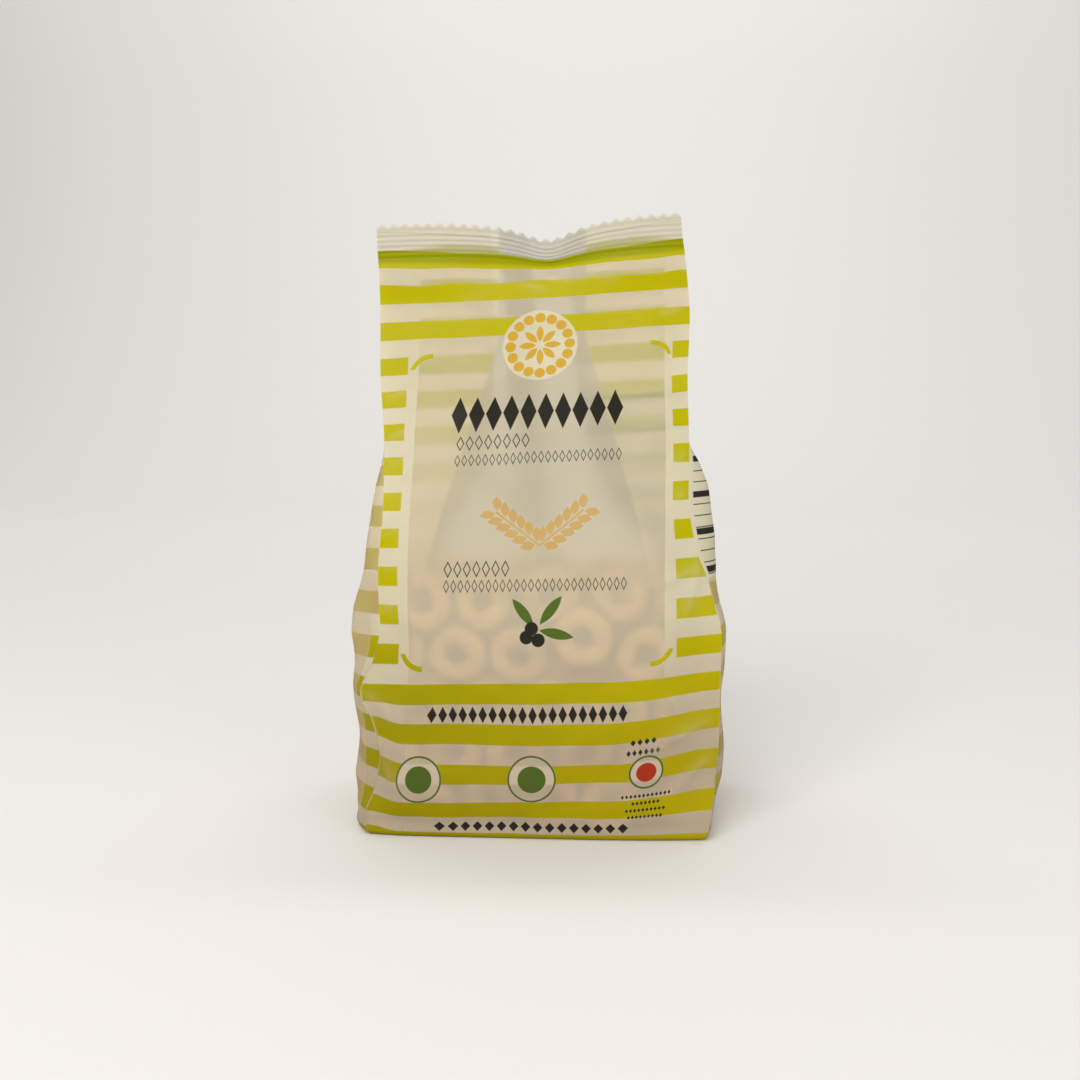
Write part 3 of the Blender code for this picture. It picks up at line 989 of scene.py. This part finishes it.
def inside(distance):
    """1 inside a printed shape and 0 outside, from the distance to its edge, which is negative inside."""
    return calc("MULTIPLY_ADD", distance, -1 / INK_EDGE, 0.5, clamp=True)


def both(one, other):
    """Where both of these masks hold."""
    return calc("MULTIPLY", one, other)


def either(*masks):
    """Where any of these masks holds."""
    result = masks[0]
    for mask in masks[1:]:
        result = calc("MAXIMUM", result, mask)
    return result


def without(one, other):
    """Where the first mask holds and the other doesn't."""
    return calc("MULTIPLY", one, calc("SUBTRACT", 1.0, other))


def rising(place, start, length):
    """0 up to the start of a stretch and 1 from its end."""
    return calc("DIVIDE", calc("SUBTRACT", place, start), length, clamp=True)


def falling(place, end, length):
    """1 up to the start of a stretch and 0 from its end."""
    return calc("DIVIDE", calc("SUBTRACT", end, place), length, clamp=True)


def from_middle(u_middle, v_middle):
    """The print's coordinates from the middle of a printed shape."""
    return calc("SUBTRACT", u, u_middle), calc("SUBTRACT", v, v_middle)


def turned_by(slant, across, up):
    """Coordinates turned so that the first one runs along the slant."""
    cosine, sine = math.cos(slant), math.sin(slant)
    along = calc("ADD", calc("MULTIPLY", across, cosine), calc("MULTIPLY", up, sine))
    beside = calc("SUBTRACT", calc("MULTIPLY", up, cosine), calc("MULTIPLY", across, sine))
    return along, beside


def length_of(across, up):
    return calc("SQRT", calc("ADD", both(across, across), both(up, up)))


def disc(across, up, radius):
    return inside(calc("SUBTRACT", length_of(across, up), radius))


def bar(across, up, half_width, half_height):
    beyond_side = calc("SUBTRACT", calc("ABSOLUTE", across), half_width)
    beyond_top = calc("SUBTRACT", calc("ABSOLUTE", up), half_height)
    return inside(calc("MAXIMUM", beyond_side, beyond_top))


def lozenge(across, up, half_width, half_height):
    reach = calc("DIVIDE", calc("ABSOLUTE", across), half_width)
    rise = calc("DIVIDE", calc("ABSOLUTE", up), half_height)
    beyond = calc("SUBTRACT", calc("ADD", reach, rise), 1.0)
    return inside(calc("MULTIPLY", beyond, min(half_width, half_height)))


def leaf(across, up, length, width):
    """A leaf with two round edges that meet at its tips, along its first coordinate."""
    radius = (length**2 + width**2) / (4 * width)
    from_centre = calc("ADD", calc("ABSOLUTE", up), radius - width / 2)
    return disc(across, from_centre, radius)


def repeated(place, pitch, count):
    """A coordinate that starts again at every pitch, and a mask that ends it after this many."""
    turn = calc("FRACT", calc("ADD", calc("DIVIDE", place, pitch), 50 + count / 2))
    local = calc("MULTIPLY", calc("SUBTRACT", turn, 0.5), pitch)
    return local, inside(calc("SUBTRACT", calc("ABSOLUTE", place), count * pitch / 2))


def past_line(place, pitch, shift, half_line):
    """How far a place lies outside the nearest of evenly spaced lines, with less than 0 on the line."""
    turn = calc("FRACT", calc("ADD", calc("DIVIDE", place, pitch), shift))
    return calc("MULTIPLY_ADD", calc("ABSOLUTE", calc("SUBTRACT", turn, 0.5)), pitch, -half_line)


def blend_colour(factor, low, high, kind="MIX"):
    """Adds a Mix node that lays the high colour over the low one by this factor."""
    node = nodes.new("ShaderNodeMix")
    node.data_type = "RGBA"
    node.blend_type = kind
    for socket, value in ((node.inputs[0], factor), (node.inputs[6], low), (node.inputs[7], high)):
        if isinstance(value, tuple):
            socket.default_value = (*value, 1)
        elif isinstance(value, (int, float)):
            socket.default_value = value
        else:
            links.new(value, socket)
    return node.outputs[2]


web_map = nodes.new("ShaderNodeUVMap")
web_map.uv_map = web.uv_layers.active.name
web_place = nodes.new("ShaderNodeSeparateXYZ")
links.new(web_map.outputs["UV"], web_place.inputs[0])
u = calc("MULTIPLY_ADD", web_place.outputs["X"], UV_WIDTH, -0.5 * UV_WIDTH)
v = calc("MULTIPLY_ADD", web_place.outputs["Y"], UV_HEIGHT, -UV_BASE)
off_front = calc("ABSOLUTE", u)
off_middle = calc("MINIMUM", off_front, calc("SUBTRACT", WEB_HALF_WIDTH, off_front))

# Rows of stripes, cut short by the window to leave dashes along the panels' edges.
HALF_STRIPE = 0.5 * STRIPE_HEIGHT
ROW_SHIFT = 20.5 - HALF_STRIPE / PRINT_PITCH
stripe = inside(past_line(calc("SUBTRACT", TOP_STRIPE, v), PRINT_PITCH, ROW_SHIFT, HALF_STRIPE))
stripe = both(stripe, inside(calc("SUBTRACT", v, TOP_STRIPE + 0.5 * PRINT_PITCH)))
on_panel = inside(calc("SUBTRACT", off_middle, BRIGHT_HALF))
above_fold_ink = inside(calc("SUBTRACT", BRIGHT_TO_FOLD, v))
past_fold = both(inside(calc("SUBTRACT", FOLD_LINE, off_middle)), above_fold_ink)
on_panel = without(on_panel, past_fold)
window_rows = both(inside(calc("SUBTRACT", v, DASH_TOP)), inside(calc("SUBTRACT", DASH_BOTTOM, v)))
window = both(window_rows, inside(calc("SUBTRACT", off_middle, WINDOW_HALF)))
bright = without(both(stripe, on_panel), window)
pale = without(stripe, on_panel)

# The folded gussets' stripes show faintly through the clear film in front of them, as far in as the
# gussets reach. They look a little wider apart than the panels' own, and inside the seal they slope down
# outwards. Further in, only the two panels' film is left, and there it is painted greyer as shade from the
# dark inside of the bag.
BEHIND_SCALE = 0.9353
BEHIND_DROP = -0.00197
BEHIND_SHIFT = 20.25
BEHIND_BLUR = 0.0016
BEHIND_SLOPE = 0.165
BEHIND_SLOPE_FROM = 0.035
GUSSET_REACHES = 0.0166
GUSSET_NARROWS = 0.26
GUSSET_FULL_FROM = 0.190
GUSSET_BLUR = 0.0014
TWO_LAYERS_FROM = 0.092
TWO_LAYERS_RISE = 0.025
SHOWN_FROM = 0.120
SHOWN_RISE = 0.055
behind_v = calc("MULTIPLY_ADD", v, BEHIND_SCALE, BEHIND_DROP)
in_seal = inside(calc("SUBTRACT", TOP_STRIPE - HALF_STRIPE, v))
outward = calc("MAXIMUM", calc("SUBTRACT", off_middle, BEHIND_SLOPE_FROM), 0.0)
behind_v = calc("ADD", behind_v, both(in_seal, calc("MULTIPLY", outward, BEHIND_SLOPE)))
behind_off = past_line(calc("SUBTRACT", TOP_STRIPE, behind_v), PRINT_PITCH, BEHIND_SHIFT, HALF_STRIPE)
shown = calc("MULTIPLY_ADD", behind_off, -1 / BEHIND_BLUR, 0.5, clamp=True)
below_full = calc("MAXIMUM", calc("SUBTRACT", GUSSET_FULL_FROM, v), 0.0)
gusset_edge = calc("MULTIPLY_ADD", below_full, GUSSET_NARROWS, GUSSET_REACHES)
gusset_behind = calc("SUBTRACT", off_middle, gusset_edge)
gusset_behind = calc("MULTIPLY_ADD", gusset_behind, 1 / GUSSET_BLUR, 0.5, clamp=True)
# Painted shade: the film over the two-layer middle is tinted greyer.
two_layer_shade = both(calc("SUBTRACT", 1.0, gusset_behind), rising(v, TWO_LAYERS_FROM, TWO_LAYERS_RISE))
shown = both(both(shown, gusset_behind), rising(v, SHOWN_FROM, SHOWN_RISE))
shown = both(both(shown, on_panel), inside(calc("SUBTRACT", v, SHOWN_TOP)))

# Short curved strokes stand at the window's four corners.
BRACKET_ACROSS = 0.0410
BRACKET_TOP = 0.1772
BRACKET_BOTTOM = 0.0732
BRACKET_RADIUS = 0.0082
BRACKET_HALF_LINE = 0.0009
BRACKET_ENDS = 0.0030
window_middle = (BRACKET_TOP + BRACKET_BOTTOM) / 2
window_half = (BRACKET_TOP - BRACKET_BOTTOM) / 2
corner_across = calc("SUBTRACT", off_middle, BRACKET_ACROSS)
corner_up = calc("SUBTRACT", calc("ABSOLUTE", calc("SUBTRACT", v, window_middle)), window_half)
corner_off = calc("ABSOLUTE", calc("SUBTRACT", length_of(corner_across, corner_up), BRACKET_RADIUS))
corner_ring = inside(calc("SUBTRACT", corner_off, BRACKET_HALF_LINE))
corner_ring = both(corner_ring, inside(calc("MULTIPLY", corner_across, -1.0)))
corner_ring = both(corner_ring, inside(calc("SUBTRACT", BRACKET_ENDS, corner_up)))
bright = either(bright, corner_ring)

# The front has a medallion of dots and petals, rows of lozenges, two ears of wheat, a sprig with berries
# and three roundels.
on_front = inside(calc("SUBTRACT", off_front, BRIGHT_HALF))
MEDALLION_MIDDLE = (-0.0005, 0.1874)
MEDALLION_RADIUS = 0.0142
DOTS = 16
DOT_RING = 0.0112
DOT_RADIUS = 0.0020
PETALS = 8
PETAL_MIDDLE = 0.0047
PETAL_SIZE = (0.0064, 0.0026)
across, up = from_middle(*MEDALLION_MIDDLE)
medallion = disc(across, up, MEDALLION_RADIUS)
medallion_reach = length_of(across, up)
heading = calc("ARCTAN2", up, across)


def spoke(count):
    """The place along and beside the nearest of this many spokes of the medallion."""
    turn = calc("FRACT", calc("MULTIPLY_ADD", heading, count / (2 * math.pi), 32.5))
    turn = calc("MULTIPLY", calc("SUBTRACT", turn, 0.5), 2 * math.pi / count)
    along = calc("MULTIPLY", medallion_reach, calc("COSINE", turn))
    return along, calc("MULTIPLY", medallion_reach, calc("SINE", turn))


along, beside = spoke(DOTS)
dots = disc(calc("SUBTRACT", along, DOT_RING), beside, DOT_RADIUS)
along, beside = spoke(PETALS)
petals = leaf(calc("SUBTRACT", along, PETAL_MIDDLE), beside, *PETAL_SIZE)
gold = both(either(dots, petals), on_front)

# Each row of lozenges: its middle, how many, their pitch, half their size, and the line of the open ones.
LOZENGE_ROWS = [
    (-0.0010, 0.1598, 10, 0.00640, 0.00300, 0.0076, None),
    (-0.0169, 0.1480, 8, 0.00345, 0.00150, 0.0031, 0.00038),
    (-0.0003, 0.1411, 24, 0.00256, 0.00110, 0.0024, 0.00030),
    (-0.0214, 0.1004, 7, 0.00345, 0.00150, 0.0031, 0.00038),
    (-0.0005, 0.0942, 26, 0.00254, 0.00110, 0.0025, 0.00030),
    (-0.0030, 0.0490, 20, 0.00360, 0.00155, 0.0030, None),
    (-0.0017, 0.0066, 16, 0.00440, 0.00180, 0.0020, None),
    (0.0370, 0.0384, 4, 0.00200, 0.00080, 0.0011, None),
    (0.0370, 0.0350, 6, 0.00170, 0.00065, 0.0011, None),
    (0.0382, 0.0190, 12, 0.00130, 0.00050, 0.0008, None),
    (0.0382, 0.0163, 7, 0.00130, 0.00050, 0.0008, None),
    (0.0382, 0.0136, 10, 0.00130, 0.00050, 0.0008, None),
    (0.0382, 0.0109, 9, 0.00130, 0.00050, 0.0008, None),
]
dark_shapes = []
for row_u, row_v, count, pitch, half_width, half_height, line in LOZENGE_ROWS:
    across, up = from_middle(row_u, row_v)
    local, row_ends = repeated(across, pitch, count)
    shape = lozenge(local, up, half_width, half_height)
    if line:
        inner = 1 - line * math.hypot(half_width, half_height) / (half_width * half_height)
        shape = without(shape, lozenge(local, up, half_width * inner, half_height * inner))
    dark_shapes.append(both(shape, row_ends))

# The ears of wheat are one ear and its mirror image, each a stem between two rows of leaning grains.
EARS_FOOT = (0.0010, 0.1085)
EAR_SLANT = math.radians(38)
STEM_MIDDLE = 0.0080
STEM_HALF = (0.0120, 0.0004)
EAR_MIDDLE = 0.0125
EAR_GRAINS = 6
GRAIN_PITCH = 0.0037
GRAIN_OFF_STEM = 0.0027
GRAIN_LEAN = math.radians(34)
GRAIN_SIZE = (0.0066, 0.0030)
across, up = from_middle(*EARS_FOOT)
along, beside = turned_by(EAR_SLANT, calc("ABSOLUTE", across), up)
stem = bar(calc("SUBTRACT", along, STEM_MIDDLE), beside, *STEM_HALF)
grain_along, ear_ends = repeated(calc("SUBTRACT", along, EAR_MIDDLE), GRAIN_PITCH, EAR_GRAINS)
grain_off = calc("SUBTRACT", calc("ABSOLUTE", beside), GRAIN_OFF_STEM)
grains = both(leaf(*turned_by(GRAIN_LEAN, grain_along, grain_off), *GRAIN_SIZE), ear_ends)
wheat = both(either(stem, grains), on_front)

# The sprig's leaves: which way each points, in degrees, and how far its middle lies from the stalk.
SPRIG_HEIGHT = 0.0785
SPRIG_LEAVES = [(52, 0.0085), (-12, 0.0075), (128, 0.0075)]
SPRIG_LEAF_SIZE = (0.0125, 0.0036)
BERRIES = [(-0.0034, 0.0758), (0.0008, 0.0748), (-0.0016, 0.0788)]
BERRY_RADIUS = 0.0024
leaves = []
for degrees, reach in SPRIG_LEAVES:
    lean = math.radians(degrees)
    across, up = from_middle(reach * math.cos(lean), SPRIG_HEIGHT + reach * math.sin(lean))
    leaves.append(leaf(*turned_by(lean, across, up), *SPRIG_LEAF_SIZE))
sprig = both(either(*leaves), on_front)
for berry in BERRIES:
    dark_shapes.append(disc(*from_middle(*berry), BERRY_RADIUS))
dark = either(*dark_shapes)

# Roundels: middle, radius, how much narrower than tall each one is drawn, and the colour of its core.
ROUNDELS = [
    (-0.0414, 0.0262, 0.0085, 0.88, "green"),
    (-0.0016, 0.0266, 0.0088, 1.00, "green"),
    (0.0381, 0.0276, 0.0061, 0.86, "red"),
]
ROUNDEL_RIM = 0.0007
ROUNDEL_CORE = 0.58
grounds = []
green_parts = []
for middle_u, middle_v, radius, narrowing, core_colour in ROUNDELS:
    across, up = from_middle(middle_u, middle_v)
    across = calc("DIVIDE", across, narrowing)
    ground = disc(across, up, radius)
    green = without(ground, disc(across, up, radius - ROUNDEL_RIM))
    core = disc(across, up, radius * ROUNDEL_CORE)
    if core_colour == "red":
        red_core = core
    else:
        green = either(green, core)
    grounds.append(ground)
    green_parts.append(green)
roundel_grounds = either(*grounds)
roundel_green = either(*green_parts)

# The right gusset carries a ruled panel from the fold on: thick and thin rules across a pale ground.
RULED_MIDDLE = (0.0997, 0.1210)
RULED_HALF = (0.0398, 0.0320)
THIN_PITCH = 0.0036
THIN_HALF = 0.00017
THICK_PITCH = 0.0117
THICK_HALF = 0.0010
RULED_MARGIN = (0.0014, 0.0008)
ruled_across, ruled_up = from_middle(*RULED_MIDDLE)
ruled = bar(ruled_across, ruled_up, *RULED_HALF)
thin = inside(past_line(ruled_up, THIN_PITCH, 20.0, THIN_HALF))
thick = inside(past_line(ruled_up, THICK_PITCH, 20.0, THICK_HALF))
rules_half = [half - margin for half, margin in zip(RULED_HALF, RULED_MARGIN)]
rules = both(either(thin, thick), bar(ruled_across, ruled_up, *rules_half))

# Ink over film. White backing covers the panels' edges and the grounds of the ruled panel, the medallion
# and the roundels; on the panels' edges it is thinned towards the top as painted shade, which makes the top
# darker. The topmost stripe is painted darker where it reaches into the seal, as shade under the crimps.
# Low down the film is painted darker and warmer as shade, and the ink more so, most on the left.
TOP_SHADE_SPAN = (0.158, 0.200)
TOP_SHADE_BY = 0.7
INK_SHADE_FADES = 0.020
LEFTWARD_WIDTH = 0.1
TOPMOST_FROM = 0.2218
TOPMOST_RISE = 0.0018
below_seal = inside(calc("SUBTRACT", v, TOP_STRIPE))
backed = both(both(inside(calc("SUBTRACT", WHITE_STARTS, off_middle)), on_panel), below_seal)
shown = without(shown, backed)
# Painted shade: the backing fades towards the top, so the top looks darker.
top_shade = rising(v, TOP_SHADE_SPAN[0], TOP_SHADE_SPAN[1] - TOP_SHADE_SPAN[0])
backed = calc("MULTIPLY", backed, calc("MULTIPLY_ADD", top_shade, -TOP_SHADE_BY, 1.0))
backed = either(backed, ruled, medallion, roundel_grounds)
bright = without(bright, ruled)
# Painted highlight: the creases are lightened with the backing's colour.
highlight_node = nodes.new("ShaderNodeAttribute")
highlight_node.attribute_name = "crease_highlight"
# Painted shade: the film low down is darker and warmer.
lower_film = falling(v, LOWER_FILM_SPAN[1], LOWER_FILM_SPAN[1] - LOWER_FILM_SPAN[0])
leftward = calc("MULTIPLY_ADD", u, -1 / LEFTWARD_WIDTH, 0.5, clamp=True)
# Painted shade on the lime ink low down, strongest on the left.
lower_ink_shade = both(bright, both(falling(v, LOWER_FILM_SPAN[1], INK_SHADE_FADES), leftward))
# Painted shade on the topmost stripe under the seal's crimps.
topmost_shade = both(bright, rising(v, TOPMOST_FROM, TOPMOST_RISE))
ink_dark = either(both(dark, on_front), both(rules, ruled))
colour = blend_colour(below_seal, SEAL_FILM, WHITE_FILM)
for mask, ink, kind in (
    (both(two_layer_shade, on_panel), TWO_LAYER_SHADE, "MULTIPLY"),
    (backed, BACKED_FILM, "MIX"),
    (shown, SHOWN_THROUGH, "MULTIPLY"),
    (without(shown, below_seal), PRESSED_THROUGH, "MULTIPLY"),
    (without(pale, ruled), PALE_LIME, "MIX"),
    (bright, LIME, "MIX"),
    (lower_ink_shade, LOWER_INK_SHADE, "MULTIPLY"),
    (topmost_shade, TOP_INK_SHADE, "MULTIPLY"),
    (either(medallion, roundel_grounds), BACKED_FILM, "MIX"),
    (wheat, BISCUIT_TAN, "MIX"),
    (gold, OCHRE, "MIX"),
    (either(sprig, roundel_green), LEAF_GREEN, "MIX"),
    (red_core, BERRY_RED, "MIX"),
    (ink_dark, CHARCOAL, "MIX"),
    # painted highlight along the creases
    (highlight_node.outputs["Fac"], BACKED_FILM, "MIX"),
    (lower_film, LOWER_FILM_SHADE, "MULTIPLY"),
):
    colour = blend_colour(mask, colour, ink, kind)
links.new(colour, surface.inputs["Base Color"])

# How much light each part of the film lets through.
CLEAR_PASSES = 0.50
BACKED_PASSES = 0.18
LOWER_BACKED_PASSES = 0.38
INK_PASSES = 0.20
SEAL_PASSES = 0.65
ART_PASSES = 0.12
art = either(wheat, gold, sprig, roundel_green, red_core, ink_dark)
backed_passing = calc("MULTIPLY_ADD", lower_film, LOWER_BACKED_PASSES - BACKED_PASSES, BACKED_PASSES)
backed_less = calc("SUBTRACT", backed_passing, CLEAR_PASSES)
passing = calc("ADD", CLEAR_PASSES, calc("MULTIPLY", backed, backed_less))
passing = calc("MULTIPLY", passing, calc("MULTIPLY_ADD", below_seal, 1.0 - SEAL_PASSES, SEAL_PASSES))
passing = calc("ADD", passing, calc("MULTIPLY", bright, calc("SUBTRACT", INK_PASSES, passing)))
passing = calc("MULTIPLY", passing, calc("MULTIPLY_ADD", art, ART_PASSES - 1.0, 1.0))
links.new(passing, surface.inputs["Transmission Weight"])

# Fine crinkles and an uneven frosting. A thin, faint gloss lies over it.
ROUGHNESS = 0.82
ROUGHNESS_VARIES = 0.14
crinkle = nodes.new("ShaderNodeTexNoise")
crinkle.inputs["Scale"].default_value = 260
crinkle.inputs["Detail"].default_value = 3
film_place = nodes.new("ShaderNodeTexCoord")
links.new(film_place.outputs["Object"], crinkle.inputs["Vector"])
crinkle_bump = nodes.new("ShaderNodeBump")
crinkle_bump.inputs["Strength"].default_value = 0.35
crinkle_bump.inputs["Distance"].default_value = 0.00012
links.new(crinkle.outputs["Fac"], crinkle_bump.inputs["Height"])
links.new(crinkle_bump.outputs["Normal"], surface.inputs["Normal"])
rough = calc("MULTIPLY_ADD", crinkle.outputs["Fac"], ROUGHNESS_VARIES, ROUGHNESS)
links.new(rough, surface.inputs["Roughness"])
surface.inputs["IOR"].default_value = 1.15
surface.inputs["Coat Weight"].default_value = 0.10
surface.inputs["Coat Roughness"].default_value = 0.22
surface.inputs["Coat IOR"].default_value = 1.4
web.materials.clear()
web.materials.append(plastic)
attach(film, "root")
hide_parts("bag")

# The web's two edges are welded together up the middle of the back in a fin. It is the same printed film,
# pressed flat to one side and crimped across.
FIN_FROM = 0.0012
FIN_TO = 0.2270
FIN_COLUMNS = 10
FIN_LIFT = 0.00035
FIN_ROOT_LIFT = 0.4
FIN_THICKNESS = 0.00022
FIN_CRIMP = 0.00012
FIN_CRIMP_PITCH = 0.0022
fin_rows = np.nonzero((heights > FIN_FROM) & (heights < FIN_TO))[0]
fin_spots = film_spots[fin_rows][:, : FIN_COLUMNS + 1].copy()
held_off = np.linspace(0, 1, FIN_COLUMNS + 1) ** 0.5
crimps = FIN_CRIMP * np.sin(2 * math.pi * heights[fin_rows] / FIN_CRIMP_PITCH)
lift = FIN_LIFT * (FIN_ROOT_LIFT + (1 - FIN_ROOT_LIFT) * held_off) + crimps[:, None] * held_off
fin_spots += facing[fin_rows][:, : FIN_COLUMNS + 1] * lift[:, :, None]
fin, corner_vertex = laid_sheet("fin_seam", fin_spots)
fin_uv = web_uv[fin_rows][:, : FIN_COLUMNS + 1].reshape(-1, 2)[corner_vertex]
fin.data.uv_layers.active.data.foreach_set("uv", fin_uv.ravel().astype(np.float32))
thicken = fin.modifiers.new("thickness", "SOLIDIFY")
thicken.thickness = FIN_THICKNESS
thicken.offset = 1
bpy.ops.object.modifier_apply(modifier=thicken.name)
bpy.ops.object.shade_smooth_by_angle(angle=math.radians(50))
fin.data.materials.clear()
fin.data.materials.append(plastic)
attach(fin, "root")
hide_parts("bag")

# The bag stands on a pale paper sweep, a floor that curves up into the backdrop.
FLOOR_HALF = 4.0
FLOOR_FRONT = -3.0
CURVE_START = 1.6
CURVE_RADIUS = 1.2
CURVE_STEPS = 20
SWEEP_TOP = 5.0
profile = [(FLOOR_FRONT, 0.0), (CURVE_START, 0.0)]
for step in range(1, CURVE_STEPS + 1):
    bow = math.pi / 2 * step / CURVE_STEPS
    profile.append((CURVE_START + CURVE_RADIUS * math.sin(bow), CURVE_RADIUS * (1 - math.cos(bow))))
profile.append((CURVE_START + CURVE_RADIUS, SWEEP_TOP))
sweep_mesh = bpy.data.meshes.new("backdrop")
sweep_spots = [(side * FLOOR_HALF, y, z) for y, z in profile for side in (-1, 1)]
sweep_faces = [(2 * k, 2 * k + 1, 2 * k + 3, 2 * k + 2) for k in range(len(profile) - 1)]
sweep_mesh.from_pydata(sweep_spots, [], sweep_faces)
sweep_mesh.shade_smooth()
backdrop = bpy.data.objects.new("backdrop", sweep_mesh)
bpy.context.collection.objects.link(backdrop)
paper = bpy.data.materials.new("Pale paper")
paper.use_nodes = True
paper.node_tree.nodes["Principled BSDF"].inputs["Base Color"].default_value = (0.80, 0.79, 0.77, 1)
paper.node_tree.nodes["Principled BSDF"].inputs["Roughness"].default_value = 0.9
sweep_mesh.materials.append(paper)


# One soft box lights it from above on the left and a weaker one from the right, in an even pale room.
# A long one washes the backdrop.
def softbox(name, spot, aim, size, power, colour):
    lamp = bpy.data.lights.new(name, "AREA")
    lamp.shape = "RECTANGLE"
    lamp.size, lamp.size_y = size
    lamp.energy = power
    lamp.color = colour
    holder = bpy.data.objects.new(name, lamp)
    bpy.context.collection.objects.link(holder)
    holder.location = spot
    holder.rotation_euler = (Vector(aim) - Vector(spot)).to_track_quat("-Z", "Y").to_euler()


softbox("key_box", (-0.30, -0.95, 0.90), (0, 0, 0.13), (0.9, 0.6), 11, (1.0, 0.975, 0.935))
softbox("fill_box", (1.1, -0.95, 0.40), (0, 0, 0.08), (0.9, 0.6), 3.2, (1.0, 0.985, 0.96))
softbox("wall_box", (0, 0.9, 2.4), (0, 2.6, 0.4), (3.4, 0.6), 38, (1.0, 0.99, 0.97))
room = bpy.data.worlds.new("Pale room")
room.use_nodes = True
room.node_tree.nodes["Background"].inputs["Color"].default_value = (1.0, 0.992, 0.975, 1)
room.node_tree.nodes["Background"].inputs["Strength"].default_value = 0.42
bpy.context.scene.world = room
bpy.context.scene.view_settings.view_transform = "Standard"

# The camera stands where the photograph was taken from: close, a little to the right, looking down.
CAMERA_YAW = math.radians(3.4)
CAMERA_PITCH = math.radians(5.84)
CAMERA_DISTANCE = 0.411
CAMERA_HEIGHT = 0.1477
SENSOR_WIDTH = 36.0
FOCAL_SHARE = 1056 / 1080
camera_data = bpy.data.cameras.new("camera")
camera_data.sensor_width = SENSOR_WIDTH
camera_data.lens = SENSOR_WIDTH * FOCAL_SHARE
camera_data.clip_start = 0.01
camera = bpy.data.objects.new("camera", camera_data)
camera.location = (
    CAMERA_DISTANCE * math.sin(CAMERA_YAW),
    -CAMERA_DISTANCE * math.cos(CAMERA_YAW),
    CAMERA_HEIGHT,
)
camera.rotation_euler = (math.pi / 2 - CAMERA_PITCH, 0, CAMERA_YAW)
bpy.context.collection.objects.link(camera)
bpy.context.scene.camera = camera
